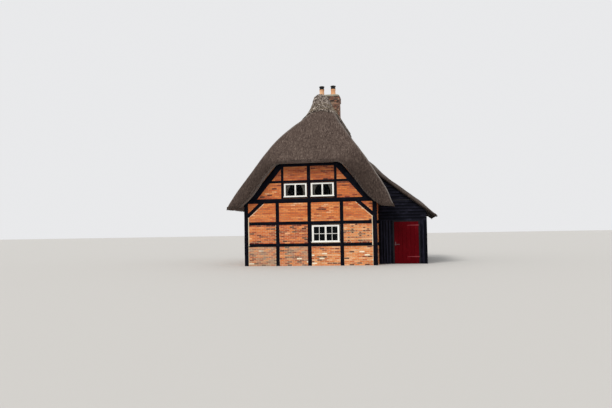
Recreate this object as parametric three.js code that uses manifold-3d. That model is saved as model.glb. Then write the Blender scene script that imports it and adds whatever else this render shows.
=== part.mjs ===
// A half-timbered cottage with a thatched roof, half-hipped at both gables, and a boarded outshut
// under a catslide on its right side. Millimetres, +Z up. X runs to the right along the front gable,
// Y runs from the front gable to the rear one. The origin is at ground level, at the middle of the
// main range.

import * as THREE from 'three';
import { mergeVertices } from 'three/addons/utils/BufferGeometryUtils.js';
import Module from 'manifold-3d';

const wasm = await Module();
wasm.setup();

// Driving dimensions of the main range
const halfWidth = 3100;
const halfLength = 4500;
const wallThickness = 200;
const wallHeight = 3110;
const gap = 0.3;
const seat = 0.6;
const beyond = 12000;
const floorTop = 100;
const upperFloorBottom = 2250;
const upperFloorTop = 2350;

// Timber frame
const timberDepth = 150;
const timberProud = 6;
const postWidth = 155;
const cornerPostWidth = 195;
const baySpacing = 1500;
const lowerRailHeight = 960;
const midRailHeight = 1970;
const railWidth = 150;
const tieBeamHeight = 3010;
const tieBeamWidth = 200;
const windowHeadHeight = 3900;
const windowHeadWidth = 110;
const collarHeight = 4665;
const collarWidth = 140;
const upperPostX = 1245;
const upperPostWidth = 120;
const rakerWidth = 280;
const rakerTop = [1300, 4738];
const rakerFoot = [2640, 3140];
const braceWidth = 165;
const braceTop = [2215, 2960];
const braceFoot = [2960, 2300];
const windowHeadReach = 1900;
const collarReach = 1350;
const wallPlateHeight = 3032;

// Roof: heights and widths of the thatch seen from the front gable
const ridgeX = 500;
const ridgeHeight = 7960;
const innerRidgeX = 450;
const innerRidgeHeight = 7200;
const rafterFootHeight = 3125;
const hipSlope = 1.718;
const hipEdgeHeight = 4740;
const vergeOverhang = 400;
const rimSetback = 450;
const hipRoll = 60;
const hipRollHeight = 1500;
const vergeRoll = 220;
const eaveRollShare = 0.35;
const eaveRollHeights = [2500, 3400];
const rollSteps = 4;
const catslideStep = [2690, 4885];
const ridgeBlockHalfLength = 2850;
const ridgeNose = 220;
const ridgeNoseHeight = 350;
const ridgeBlockTop = 8250;

// Chimney
const stackX = [-30, 1190];
const stackY = [-2150, -1450];
const stackClearance = 2;
const stackTop = 8390;
const corbelHeights = [8060, 8330];
const corbelReach = 30;
const flaunchingTop = 8450;
const flaunchingInset = 10;
const flaunchingTopShare = 0.88;
const potX = [300, 880];
const potRadius = 125;
const potHeight = 300;
const cowlHeight = 190;
const roundSegments = 24;

// Outshut
const outshutHalfLength = 3400;
const outshutVerge = 200;
const outshutRight = 5300;
const outshutFloorTop = 60;
const wallJointWidth = 8;
const gableBoardsPeak = [3175, 4120];
const boardWallThickness = 100;
const doorLeft = 3820;
const doorRight = 4950;
const doorHead = 1960;
const doorPostWidth = 60;
const doorThickness = 40;
const doorClearance = 5;
const doorGroundClearance = 15;
const strapHeights = [1790, 330];
const strapLength = 520;
const strapWidth = 42;
const strapThickness = 6;
const strapTaper = 0.4;
const eyeRadius = 12;
const pinRadius = 6.5;
const pinHoleRadius = 8;
const pinRise = 8;
const lugHeight = 14;
const latchInset = 55;
const latchHeights = [850, 1020];
const latchPlate = { halfWidth: 18, thickness: 4 };
const latchGrip = { halfWidth: 7, reach: 34, thickness: 12, inset: 25 };
const hingeOffset = { x: 5, y: 0.6 };

// Windows
const lowerWindow = { left: 85, right: 1415, bottom: 1060, top: 1885, border: 110, mullion: 90 };
const upperWindow = { left: 85, right: 1178, bottom: 3118, top: 3838, border: 85, mullion: 100 };
const railShare = 0.8;
const windowDepth = 45;
const windowProud = 15;
const glassThickness = 6;
const sillReach = 60;
const sillHeight = 45;

// Side walls
const sideEnd = halfLength - wallThickness - seat;
const innerDoorway = { left: -925, right: -80, top: 1895 };
const sideWindows = [-2 * baySpacing, baySpacing].map((start) => ({
  ...lowerWindow, left: start + lowerWindow.left, right: start + lowerWindow.right }));

const colours = {
  timber: [0x15171c, 0.7],
  brick: [0xc56a40, 0.9],
  thatch: [0x6a6058, 1.0],
  ridge: [0x7a6f62, 1.0],
  joinery: [0xe8e8e2, 0.5],
  glass: [0x20262a, 0.1],
  boards: [0x16181d, 0.75],
  door: [0x7a1220, 0.55],
  iron: [0x101114, 0.6],
  chimneyBrick: [0x7c4433, 0.95],
  cement: [0xb9b5aa, 0.95],
  pot: [0xd98a5a, 0.85],
  floor: [0x9a958c, 0.95],
  floorboards: [0x7c5f43, 0.8],
};

// Solids and geometry

function toSolid(geometry) {
  const bare = geometry.clone();
  bare.deleteAttribute('normal');
  bare.deleteAttribute('uv');
  const merged = mergeVertices(bare, 1e-3);
  return new wasm.Manifold(new wasm.Mesh({
    numProp: 3,
    vertProperties: new Float32Array(merged.attributes.position.array),
    triVerts: new Uint32Array(merged.index.array),
  }));
}

function toGeometry(solid) {
  const mesh = solid.getMesh();
  const geometry = new THREE.BufferGeometry();
  geometry.setAttribute('position', new THREE.BufferAttribute(mesh.vertProperties, 3));
  geometry.setIndex(new THREE.BufferAttribute(mesh.triVerts, 1));
  geometry.computeVertexNormals();
  return geometry;
}

function join(solids) {
  return solids.reduce((sum, solid) => sum.add(solid));
}

function span(a, b) {
  return [Math.min(a, b), Math.max(a, b)];
}

function box(x0, x1, y0, y1, z0, z1) {
  const geometry = new THREE.BoxGeometry(x1 - x0, y1 - y0, z1 - z0);
  geometry.translate((x0 + x1) / 2, (y0 + y1) / 2, (z0 + z1) / 2);
  return toSolid(geometry);
}

// Extrudes an outline of [a, z] points: along Y when a is X, and along X when a is Y.
function prism(points, along, from, to) {
  const [low, high] = span(from, to);
  const depth = high - low;
  const shape = new THREE.Shape(points.map(([a, b]) => new THREE.Vector2(a, b)));
  const geometry = new THREE.ExtrudeGeometry(shape, { depth, bevelEnabled: false });
  if (along === 'y') {
    geometry.rotateX(Math.PI / 2);
    geometry.translate(0, high, 0);
  } else {
    const turn = new THREE.Matrix4().makeBasis(
      new THREE.Vector3(0, 1, 0), new THREE.Vector3(0, 0, 1), new THREE.Vector3(1, 0, 0));
    geometry.applyMatrix4(turn);
    geometry.translate(low, 0, 0);
  }
  return toSolid(geometry);
}

// Four corners of a straight timber between two points of a wall's face.
function timberOutline([a0, z0], [a1, z1], width, grow) {
  const start = new THREE.Vector2(a0, z0);
  const end = new THREE.Vector2(a1, z1);
  const run = end.clone().sub(start).normalize();
  const side = new THREE.Vector2(-run.y, run.x).multiplyScalar(width / 2 + grow);
  start.addScaledVector(run, -grow);
  end.addScaledVector(run, grow);
  const corners = [
    start.clone().sub(side), end.clone().sub(side), end.clone().add(side), start.clone().add(side)];
  return corners.map((corner) => [corner.x, corner.y]);
}

// Roof: the outer thatch is a loft. Every line of it starts at the lower edge of the front verge,
// rolls up to the rim, runs straight to the rear rim and rolls down to the rear verge.

const rightRim = [
  [3870, 2670], [3820, 2790], [3740, 2980], [3620, 3310], [3490, 3570], [3340, 3840], [3120, 4180],
  [2890, 4560], [2620, 5000], [2360, 5360], [2080, 5740], [1790, 6180], [1500, 6600], [1200, 7050],
  [850, 7560],
];
const leftRim = [
  [-3870, 2670], [-3835, 2790], [-3760, 2980], [-3640, 3220], [-3480, 3480], [-3300, 3720],
  [-3080, 3980], [-2800, 4330], [-2550, 4650], [-2300, 4980], [-2050, 5310], [-1650, 5840],
  [-1250, 6340], [-820, 6780], [-260, 7210],
];
const vergeEdge = [
  [3270, 2740], [3120, 2840], [2960, 2970], [2790, 3120], [2600, 3330], [2430, 3550], [2120, 3990],
  [1870, 4320], [1680, 4540], [1520, 4670], [1330, 4740], [1000, 4740], [750, 4740], [500, 4740],
  [300, 4740],
];

function rimSetbackAt(z) {
  const rise = Math.max(0, z - hipEdgeHeight) / hipSlope;
  const [low, high] = eaveRollHeights;
  const eaveRoll = THREE.MathUtils.clamp((z - low) / (high - low), eaveRollShare, 1);
  return Math.hypot(rise, rimSetback * eaveRoll);
}

function roofLines() {
  const left = leftRim.map((rim, i) => ({ rim, edge: [-vergeEdge[i][0], vergeEdge[i][1]] }));
  const right = rightRim.map((rim, i) => ({ rim, edge: vergeEdge[i] }));
  const ridge = { rim: [ridgeX, ridgeHeight], edge: [0, hipEdgeHeight] };
  return [...left, ridge, ...right.reverse()];
}

// Points of one half of a roof line, from the verge's lower edge to the rim.
function rollPoints({ rim, edge }) {
  const frontY = -halfLength - vergeOverhang;
  const low = new THREE.Vector3(edge[0], frontY, edge[1]);
  const high = new THREE.Vector3(rim[0], frontY + rimSetbackAt(rim[1]), rim[1]);
  const hipShare = THREE.MathUtils.clamp((rim[1] - hipEdgeHeight) / hipRollHeight, 0, 1);
  const middle = low.clone().add(high).multiplyScalar(0.5);
  middle.y -= THREE.MathUtils.lerp(vergeRoll, hipRoll, hipShare);
  const curve = new THREE.QuadraticBezierCurve3(low, middle, high);
  return curve.getPoints(rollSteps);
}

function outerThatch() {
  const rows = roofLines().map((line) => {
    const front = rollPoints(line);
    const rear = front.map((p) => new THREE.Vector3(p.x, -p.y, p.z)).reverse();
    return [...front, ...rear];
  });
  const perRow = rows[0].length;
  const positions = rows.flat().flatMap((p) => [p.x, p.y, p.z]);
  const index = [];
  for (let j = 0; j < rows.length - 1; j += 1) {
    for (let i = 0; i < perRow; i += 1) {
      const next = (i + 1) % perRow;
      const a = j * perRow + i;
      const b = j * perRow + next;
      index.push(a, a + perRow, b, b, a + perRow, b + perRow);
    }
  }
  for (let i = 1; i < perRow - 1; i += 1) {
    const last = (rows.length - 1) * perRow;
    index.push(0, i, i + 1);
    index.push(last, last + i + 1, last + i);
  }
  const geometry = new THREE.BufferGeometry();
  geometry.setAttribute('position', new THREE.Float32BufferAttribute(positions, 3));
  geometry.setIndex(index);
  return toSolid(geometry);
}

// The space under the thatch, down to the ground: a gable shape with sloped hips at both ends.
function loftVoid() {
  const edge = halfWidth + gap;
  const end = halfLength + timberProud;
  const topY = end - (innerRidgeHeight - hipEdgeHeight) / hipSlope;
  const gableProfile = [
    [-edge, 0], [edge, 0], [edge, rafterFootHeight], [innerRidgeX, innerRidgeHeight],
    [-edge, rafterFootHeight],
  ];
  const sideProfile = [
    [-end, 0], [end, 0], [end, hipEdgeHeight], [topY, innerRidgeHeight], [-topY, innerRidgeHeight],
    [-end, hipEdgeHeight],
  ];
  const alongY = prism(gableProfile, 'y', -beyond, beyond);
  return alongY.intersect(prism(sideProfile, 'x', -beyond, beyond));
}

function stackSpace(clear) {
  const [x0, x1] = stackX;
  const [y0, y1] = stackY;
  return box(x0 - clear, x1 + clear, y0 - clear, y1 + clear, 0, beyond);
}

function thatchShell() {
  const eaveCut = outshutHalfLength + outshutVerge + gap;
  const overOutshut = box(halfWidth + gap, beyond, -eaveCut, eaveCut, 0, beyond);
  const solid = outerThatch().subtract(loftVoid()).subtract(overOutshut);
  return solid.subtract(stackSpace(stackClearance));
}

// The block ridge lies over the crest, thicker than the slopes it covers.
const ridgeOutline = [
  [-90, 7240], [-70, 7480], [10, 7780], [110, 8030], [260, 8190], [450, ridgeBlockTop], [620, 8190],
  [780, 8020], [920, 7790], [1040, 7560], [1120, 7330], [1060, 7250], [470, 7890],
];

function ridgeBlock(shell) {
  const end = ridgeBlockHalfLength;
  const shoulder = ridgeBlockTop - ridgeNoseHeight;
  const sideProfile = [
    [-end, 0], [end, 0], [end, shoulder], [end - ridgeNose, ridgeBlockTop],
    [-end + ridgeNose, ridgeBlockTop], [-end, shoulder],
  ];
  const body = prism(ridgeOutline, 'y', -end, end);
  const rounded = body.intersect(prism(sideProfile, 'x', -beyond, beyond));
  return rounded.subtract(shell).subtract(stackSpace(corbelReach + stackClearance));
}

function shellPart(shell, x0, x1, y0, y1) {
  return shell.intersect(box(x0 + gap, x1 - gap, y0 + gap, y1 - gap, 0, beyond));
}

// Outshut roof

const catslideTop = [
  [2700, 4900], [2960, 4640], [3390, 4200], [3800, 3860], [4300, 3490], [4990, 2960], [5450, 2560],
  [5760, 2250],
];
const catslideBottom = [[5560, 2290], [4290, 3255], [3140, 4170]];

function catslideUnderside(x) {
  const [end, middle] = catslideBottom;
  const slope = (middle[1] - end[1]) / (middle[0] - end[0]);
  return end[1] + (x - end[0]) * slope;
}

function outshutThatch() {
  const reach = outshutHalfLength + outshutVerge;
  const slope = outerThatch();
  const outline = [...catslideTop, ...catslideBottom, catslideStep];
  return prism(outline, 'y', -reach, reach).subtract(slope.translate([gap, 0, gap]));
}

// Walls and timber frames. A face is described by [a, z] points, where a runs along the wall.

function gableTimbers() {
  const corner = halfWidth - cornerPostWidth / 2;
  const end = halfWidth - gap;
  const timbers = [
    [[-end, lowerRailHeight], [end, lowerRailHeight], railWidth],
    [[-end, midRailHeight], [end, midRailHeight], railWidth],
    [[-end, tieBeamHeight], [end, tieBeamHeight], tieBeamWidth],
    [[0, 0], [0, collarHeight], postWidth],
    [[-windowHeadReach, windowHeadHeight], [windowHeadReach, windowHeadHeight], windowHeadWidth],
    [[-collarReach, collarHeight], [collarReach, collarHeight], collarWidth],
  ];
  for (const side of [-1, 1]) {
    timbers.push([[side * corner, 0], [side * corner, tieBeamHeight], cornerPostWidth]);
    timbers.push([[side * baySpacing, 0], [side * baySpacing, tieBeamHeight], postWidth]);
    timbers.push([[side * upperPostX, tieBeamHeight], [side * upperPostX, collarHeight],
      upperPostWidth]);
    timbers.push([[side * rakerTop[0], rakerTop[1]], [side * rakerFoot[0], rakerFoot[1]],
      rakerWidth]);
    timbers.push([[side * braceTop[0], braceTop[1]], [side * braceFoot[0], braceFoot[1]],
      braceWidth]);
  }
  return timbers;
}

// The gable's outline, lowered by drop under the roof that lies on it.
function gableOutline(drop) {
  const rise = rafterFootHeight - drop;
  const top = hipEdgeHeight - drop;
  const slopeRight = (innerRidgeHeight - rafterFootHeight) / (halfWidth + gap - innerRidgeX);
  const slopeLeft = (innerRidgeHeight - rafterFootHeight) / (halfWidth + gap + innerRidgeX);
  return [
    [-halfWidth, 0], [halfWidth, 0], [halfWidth, rise],
    [halfWidth - (top - rise) / slopeRight, top], [-halfWidth + (top - rise) / slopeLeft, top],
    [-halfWidth, rise],
  ];
}

// All timbers of a gable as one solid. Grown by a clearance, it is the channel for them in the wall.
function gableBars(side, grow) {
  const front = side * (halfLength + timberProud);
  const back = side * (halfLength - timberDepth - grow);
  const bars = gableTimbers().map(([start, end, width]) => (
    prism(timberOutline(start, end, width, grow), 'y', front, back)));
  const inner = halfWidth - cornerPostWidth - grow;
  const outer = halfWidth + grow;
  const depth = span(front, side * (halfLength - wallThickness - grow));
  for (const end of [-1, 1]) {
    bars.push(box(...span(end * inner, end * outer), ...depth, -grow, tieBeamHeight));
  }
  return join(bars);
}

function gableFrame(side) {
  return gableBars(side, 0).intersect(prism(gableOutline(seat), 'y', -beyond, beyond));
}

function windowSpace({ left, right, bottom, top }, axis, side) {
  if (axis === 'y') {
    return box(left, right, ...span(0, side * beyond), bottom, top);
  }
  return box(...span(0, side * beyond), left, right, bottom, top);
}

function gableHoles() {
  const mirrored = { ...upperWindow, left: -upperWindow.right, right: -upperWindow.left };
  return [lowerWindow, upperWindow, mirrored];
}

function gableWall(side) {
  const solid = prism(gableOutline(seat), 'y', side * halfLength, side * (halfLength - wallThickness));
  const spaces = gableHoles().map((hole) => windowSpace(hole, 'y', side));
  return solid.subtract(gableBars(side, gap)).subtract(join(spaces));
}

function sideTimbers(doorway) {
  const timbers = [wallPlateHeight, midRailHeight].map((z) => (
    [[-sideEnd, z], [sideEnd, z], railWidth]));
  for (const bay of [-2, -1, 0, 1, 2]) {
    timbers.push([[bay * baySpacing, 0], [bay * baySpacing, wallPlateHeight], postWidth]);
  }
  if (doorway) {
    const post = doorway.left - postWidth / 2 - gap;
    timbers.push([[-sideEnd, lowerRailHeight], [post, lowerRailHeight], railWidth]);
    timbers.push([[doorway.right, lowerRailHeight], [sideEnd, lowerRailHeight], railWidth]);
    timbers.push([[post, 0], [post, midRailHeight], postWidth]);
  } else {
    timbers.push([[-sideEnd, lowerRailHeight], [sideEnd, lowerRailHeight], railWidth]);
  }
  return timbers;
}

function sideFrame(side, doorway, grow) {
  const outer = side * (halfWidth + grow);
  const inner = side * (halfWidth - timberDepth - grow);
  const bars = sideTimbers(doorway).map(([start, end, width]) => (
    prism(timberOutline(start, end, width, grow), 'x', outer, inner)));
  const end = sideEnd + grow;
  return join(bars).intersect(box(-beyond, beyond, -end, end, -grow, wallHeight));
}

function sideWallPiece(side, doorway, y0, y1, z0, z1) {
  const depth = span(side * halfWidth, side * (halfWidth - wallThickness));
  return box(...depth, y0, y1, z0, z1).subtract(sideFrame(side, doorway, gap));
}

function leftSideWall() {
  const spaces = sideWindows.map((hole) => windowSpace(hole, 'x', -1));
  return sideWallPiece(-1, null, -sideEnd, sideEnd, 0, wallHeight).subtract(join(spaces));
}

// Windows: a white frame with two lights, a sill, and a sheet of glass behind it.

function windowFrame(hole, place) {
  const { left, right, bottom, top, border, mullion } = hole;
  const middle = (left + right) / 2;
  const outline = box(left + gap, right - gap, 0, windowDepth, bottom + gap, top - gap);
  const lights = [
    [left + border, middle - mullion / 2], [middle + mullion / 2, right - border]];
  const rail = border * railShare;
  const holes = lights.map(([a, b]) => box(a, b, -beyond, beyond, bottom + rail, top - rail));
  const sill = box(left + gap, right - gap, -sillReach, windowDepth / 2, bottom + gap,
    bottom + sillHeight);
  return placeOnWall(outline.subtract(join(holes)).add(sill), place);
}

function windowGlass(hole, place) {
  const y0 = windowDepth + gap;
  const pane = box(hole.left + gap, hole.right - gap, y0, y0 + glassThickness,
    hole.bottom + gap, hole.top - gap);
  return placeOnWall(pane, place);
}

// Moves a window drawn with its outer face at Y 0, looking along -Y, to its wall.
function placeOnWall(solid, { axis, side }) {
  if (axis === 'y' && side < 0) {
    return solid.translate([0, -halfLength - windowProud, 0]);
  }
  if (axis === 'y') {
    return solid.mirror([0, 1, 0]).translate([0, halfLength + windowProud, 0]);
  }
  const turned = solid.transform([0, 1, 0, 0, 1, 0, 0, 0, 0, 0, 1, 0, 0, 0, 0, 1]);
  return turned.translate([-halfWidth - windowProud, 0, 0]);
}

// Chimney

function chimneyStack() {
  const [x0, x1] = stackX;
  const [y0, y1] = stackY;
  const out = corbelReach;
  const stack = box(x0, x1, y0, y1, floorTop + gap, stackTop);
  const corbel = box(x0 - out, x1 + out, y0 - out, y1 + out, ...corbelHeights);
  return stack.add(corbel);
}

function flaunching() {
  const width = stackX[1] - stackX[0] - 2 * flaunchingInset;
  const depth = stackY[1] - stackY[0] - 2 * flaunchingInset;
  const centreX = (stackX[0] + stackX[1]) / 2;
  const centreY = (stackY[0] + stackY[1]) / 2;
  const height = flaunchingTop - stackTop;
  const corner = Math.SQRT1_2;
  const slab = new THREE.CylinderGeometry(corner * flaunchingTopShare, corner, height - gap, 4, 1);
  slab.rotateY(Math.PI / 4);
  slab.rotateX(Math.PI / 2);
  slab.scale(width, depth, 1);
  slab.translate(centreX, centreY, stackTop + gap + (height - gap) / 2);
  return toSolid(slab);
}

function turned(profile, x, y, z) {
  const points = profile.map(([r, h]) => new THREE.Vector2(r, h));
  const geometry = new THREE.LatheGeometry(points, roundSegments);
  geometry.rotateX(Math.PI / 2);
  geometry.translate(x, y, z);
  return toSolid(geometry);
}

function chimneyPot(x) {
  const r = potRadius;
  const h = potHeight;
  const profile = [
    [r * 0.72, 0], [r, 0], [r * 0.9, h * 0.8], [r, h * 0.86], [r, h], [r * 0.72, h], [r * 0.72, 0]];
  return turned(profile, x, (stackY[0] + stackY[1]) / 2, flaunchingTop + gap);
}

function cowl(x) {
  const h = cowlHeight;
  const r = potRadius;
  const profile = [
    [0, 0], [r * 0.92, 0], [r * 0.92, h * 0.55], [r * 1.15, h * 0.6], [r * 1.15, h * 0.78],
    [r * 0.5, h], [0, h]];
  return turned(profile, x, (stackY[0] + stackY[1]) / 2, flaunchingTop + potHeight + 2 * gap);
}

// Outshut walls, floor and door

function outshutWalls() {
  const front = -outshutHalfLength;
  const inside = front + boardWallThickness;
  const left = halfWidth + wallJointWidth;
  const postLeft = doorLeft - doorPostWidth;
  const postRight = doorRight + doorPostWidth;
  const wallInner = outshutRight - boardWallThickness;
  const under = (x) => catslideUnderside(x) - seat;
  const headTop = doorHead + doorPostWidth;
  const [peakX, peakZ] = gableBoardsPeak;
  const underside = [[outshutRight, under(outshutRight)],
    [catslideBottom[1][0], catslideBottom[1][1] - seat], [peakX, peakZ], [left, peakZ]];
  return {
    outshut_front_boards_left: box(left, postLeft - gap, front, inside, 0, headTop - gap),
    outshut_front_boards_right: box(postRight + gap, outshutRight, front, inside, 0, headTop - gap),
    outshut_gable_boards: prism([[left, headTop], [outshutRight, headTop], ...underside],
      'y', front, inside),
    outshut_side_wall: prism([[wallInner, 0], [outshutRight, 0],
      [outshutRight, under(outshutRight)], [wallInner, under(wallInner)]],
    'y', inside + gap, -inside - gap),
    outshut_rear_wall: prism([[left, 0], [outshutRight, 0], ...underside], 'y', -front, -inside),
    door_post_left: box(postLeft, doorLeft, front, inside, 0, doorHead - gap),
    door_post_right: box(doorRight, postRight, front, inside, 0, doorHead - gap),
    door_lintel: box(postLeft, postRight, front, inside, doorHead, headTop - gap),
    outshut_floor: box(left, wallInner - gap, inside + gap, -inside - gap, 0, outshutFloorTop),
  };
}

const hingeX = doorRight + hingeOffset.x;
const hingeY = -outshutHalfLength - eyeRadius - hingeOffset.y;

function redDoor() {
  return box(doorLeft + doorClearance, doorRight - doorClearance, -outshutHalfLength,
    -outshutHalfLength + doorThickness, doorGroundClearance, doorHead - doorClearance);
}

function cylinderAt(radius, x, y, z0, z1) {
  const geometry = new THREE.CylinderGeometry(radius, radius, z1 - z0, roundSegments);
  geometry.rotateX(Math.PI / 2);
  geometry.translate(x, y, (z0 + z1) / 2);
  return toSolid(geometry);
}

function strapHinge(z) {
  const half = strapWidth / 2;
  const face = -outshutHalfLength - gap;
  const right = hingeX - (eyeRadius + pinHoleRadius) / 2;
  const tip = half * strapTaper;
  const outline = [[right - strapLength, z - tip], [right - strapLength, z + tip],
    [right, z + half], [right, z - half]];
  const strap = prism(outline, 'y', face - strapThickness, face);
  const eye = cylinderAt(eyeRadius, hingeX, hingeY, z - half, z + half);
  const hole = cylinderAt(pinHoleRadius, hingeX, hingeY, 0, doorHead);
  return strap.add(eye).subtract(hole);
}

function hingePin(z) {
  const face = -outshutHalfLength - gap;
  const top = z - strapWidth / 2 - gap;
  const bottom = top - lugHeight;
  const lug = cylinderAt(eyeRadius, hingeX, hingeY, bottom, top);
  const arm = box(hingeX, doorRight + doorPostWidth, face - strapThickness, face, bottom, top);
  const pin = cylinderAt(pinRadius, hingeX, hingeY, bottom, z + strapWidth / 2 + pinRise);
  return join([lug, arm, pin]);
}

function doorLatch() {
  const x = doorLeft + doorClearance + latchInset;
  const face = -outshutHalfLength - gap;
  const [low, high] = latchHeights;
  const { halfWidth: wide, thickness } = latchPlate;
  const { halfWidth: half, reach, inset } = latchGrip;
  const plate = box(x - wide, x + wide, face - thickness, face, low, high);
  const posts = [low + inset + half, high - inset - half].map((z) => (
    box(x - half, x + half, face - reach, face - thickness / 2, z - half, z + half)));
  const gripFace = face - reach + thickness / 2;
  const grip = box(x - half, x + half, gripFace - latchGrip.thickness, gripFace,
    low + inset, high - inset);
  return join([plate, ...posts, grip]);
}

// Assembly

const cottage = new THREE.Group();

function addPart(name, solid, colour) {
  const [tint, roughness] = colours[colour];
  const metalness = colour === 'iron' ? 0.8 : 0;
  const material = new THREE.MeshStandardMaterial({ color: tint, roughness, metalness });
  const mesh = new THREE.Mesh(toGeometry(solid), material);
  mesh.name = name;
  cottage.add(mesh);
}

function addMainRange() {
  const insideX = halfWidth - wallThickness - gap;
  const insideY = halfLength - wallThickness - gap;
  addPart('main_floor', box(-insideX, insideX, -insideY, insideY, 0, floorTop), 'floor');
  const boards = box(-insideX, insideX, -insideY, insideY, upperFloorBottom, upperFloorTop);
  addPart('upper_floor', boards.subtract(stackSpace(stackClearance)), 'floorboards');
  for (const [name, side] of [['front', -1], ['rear', 1]]) {
    addPart(`${name}_gable_wall`, gableWall(side), 'brick');
    addPart(`${name}_gable_frame`, gableFrame(side), 'timber');
  }
  addPart('left_side_wall', leftSideWall(), 'brick');
  addPart('left_side_frame', sideFrame(-1, null, 0), 'timber');
  const { left, right, top } = innerDoorway;
  addPart('right_side_wall_front',
    sideWallPiece(1, innerDoorway, -sideEnd, left, 0, wallHeight), 'brick');
  addPart('right_side_wall_rear',
    sideWallPiece(1, innerDoorway, right, sideEnd, 0, wallHeight), 'brick');
  addPart('right_side_wall_over_doorway',
    sideWallPiece(1, innerDoorway, left + gap, right - gap, top, wallHeight), 'brick');
  addPart('right_side_frame', sideFrame(1, innerDoorway, 0), 'timber');
}

function addWindows() {
  const [lower, upperRight, upperLeft] = gableHoles();
  for (const [name, side] of [['front', -1], ['rear', 1]]) {
    const place = { axis: 'y', side };
    addPart(`${name}_lower_window`, windowFrame(lower, place), 'joinery');
    addPart(`${name}_lower_glass`, windowGlass(lower, place), 'glass');
    addPart(`${name}_upper_right_window`, windowFrame(upperRight, place), 'joinery');
    addPart(`${name}_upper_left_window`, windowFrame(upperLeft, place), 'joinery');
    addPart(`${name}_upper_right_glass`, windowGlass(upperRight, place), 'glass');
    addPart(`${name}_upper_left_glass`, windowGlass(upperLeft, place), 'glass');
  }
  sideWindows.forEach((hole, i) => {
    const place = { axis: 'x', side: -1 };
    const name = i === 0 ? 'left_front_window' : 'left_rear_window';
    addPart(name, windowFrame(hole, place), 'joinery');
    addPart(name.replace('window', 'glass'), windowGlass(hole, place), 'glass');
  });
}

function addRoof() {
  const shell = thatchShell();
  const wallFace = halfLength + timberProud;
  addPart('thatch_front_hood', shellPart(shell, -beyond, beyond, -beyond, -wallFace), 'thatch');
  addPart('thatch_rear_hood', shellPart(shell, -beyond, beyond, wallFace, beyond), 'thatch');
  addPart('thatch_left_slope', shellPart(shell, -beyond, ridgeX, -wallFace, wallFace), 'thatch');
  addPart('thatch_right_slope', shellPart(shell, ridgeX, beyond, -wallFace, wallFace), 'thatch');
  addPart('thatch_ridge', ridgeBlock(outerThatch().translate([0, 0, gap])), 'ridge');
  addPart('outshut_thatch', outshutThatch(), 'thatch');
}

function addChimney() {
  addPart('chimney_stack', chimneyStack(), 'chimneyBrick');
  addPart('chimney_flaunching', flaunching(), 'cement');
  ['left', 'right'].forEach((side, i) => {
    addPart(`${side}_chimney_pot`, chimneyPot(potX[i]), 'pot');
    addPart(`${side}_chimney_cowl`, cowl(potX[i]), 'iron');
  });
}

function addOutshut() {
  const walls = outshutWalls();
  for (const [name, solid] of Object.entries(walls)) {
    addPart(name, solid, name === 'outshut_floor' ? 'floor' : 'boards');
  }
  addPart('red_door', redDoor(), 'door');
  ['upper', 'lower'].forEach((level, i) => {
    addPart(`${level}_strap_hinge`, strapHinge(strapHeights[i]), 'door');
    addPart(`${level}_hinge_pin`, hingePin(strapHeights[i]), 'iron');
  });
  addPart('door_latch', doorLatch(), 'iron');
}

addMainRange();
addWindows();
addRoof();
addChimney();
addOutshut();

export default cottage;
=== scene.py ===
# Thatched cottage: the looks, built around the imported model. Metres, same frame as the model.
import math
import random
import bmesh
import bpy
from mathutils import Matrix, Vector, noise
from mathutils.bvhtree import BVHTree


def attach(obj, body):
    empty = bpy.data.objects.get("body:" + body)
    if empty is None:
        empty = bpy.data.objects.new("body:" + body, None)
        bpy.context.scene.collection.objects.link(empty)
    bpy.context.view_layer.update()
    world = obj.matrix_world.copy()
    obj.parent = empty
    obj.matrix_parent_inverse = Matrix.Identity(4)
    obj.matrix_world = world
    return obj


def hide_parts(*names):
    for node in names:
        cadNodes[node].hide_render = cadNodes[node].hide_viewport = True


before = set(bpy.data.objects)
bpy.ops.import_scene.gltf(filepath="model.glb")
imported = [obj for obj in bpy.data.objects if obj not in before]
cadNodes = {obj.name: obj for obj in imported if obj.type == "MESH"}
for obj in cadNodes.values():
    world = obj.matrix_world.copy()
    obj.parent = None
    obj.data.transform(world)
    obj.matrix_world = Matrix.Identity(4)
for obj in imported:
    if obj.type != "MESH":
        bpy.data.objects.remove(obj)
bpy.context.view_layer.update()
noise.seed_set(5)  # the same wobble each run


# Selecting and editing

def clearSelection():
    bpy.ops.object.select_all(action="DESELECT")


def makeActive(piece):
    clearSelection()
    piece.select_set(True)
    bpy.context.view_layer.objects.active = piece


def doneEditing():
    bpy.ops.object.mode_set(mode="OBJECT")


def startEditing(piece, kind=None):
    # everything is selected, or nothing when a kind of element is named
    if bpy.context.mode != "OBJECT":
        doneEditing()
    makeActive(piece)
    bpy.ops.object.mode_set(mode="EDIT")
    if kind:
        bpy.ops.mesh.select_mode(type=kind)
    bpy.ops.mesh.select_all(action="DESELECT" if kind else "SELECT")


def pick(piece, kind, test):
    startEditing(piece, kind)
    shape = bmesh.from_edit_mesh(piece.data)
    for part in {"VERT": shape.verts, "EDGE": shape.edges, "FACE": shape.faces}[kind]:
        part.select_set(bool(test(part)))
    bmesh.update_edit_mesh(piece.data)


def pickFaces(piece, test):
    pick(piece, "FACE", lambda face: test(face.normal))


def pickEdges(piece, test):
    pick(piece, "EDGE", lambda edge: test(edge.verts[0].co, edge.verts[1].co))


def movePicked(piece, newPlace):
    shape = bmesh.from_edit_mesh(piece.data)
    for vertex in (v for v in shape.verts if v.select):
        vertex.co = newPlace(vertex.co)
    bmesh.update_edit_mesh(piece.data)


def bevelPicked(width, segments=1):
    bpy.ops.mesh.bevel(offset=width, segments=segments, affect="EDGES")
    doneEditing()


def cutAcross(piece, axis, cuts):
    # cuts the edges that run along the axis
    pickEdges(piece, lambda p, q: abs(p[axis] - q[axis]) > 0.01)
    bpy.ops.mesh.subdivide_edgering(number_cuts=max(1, cuts))


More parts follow.
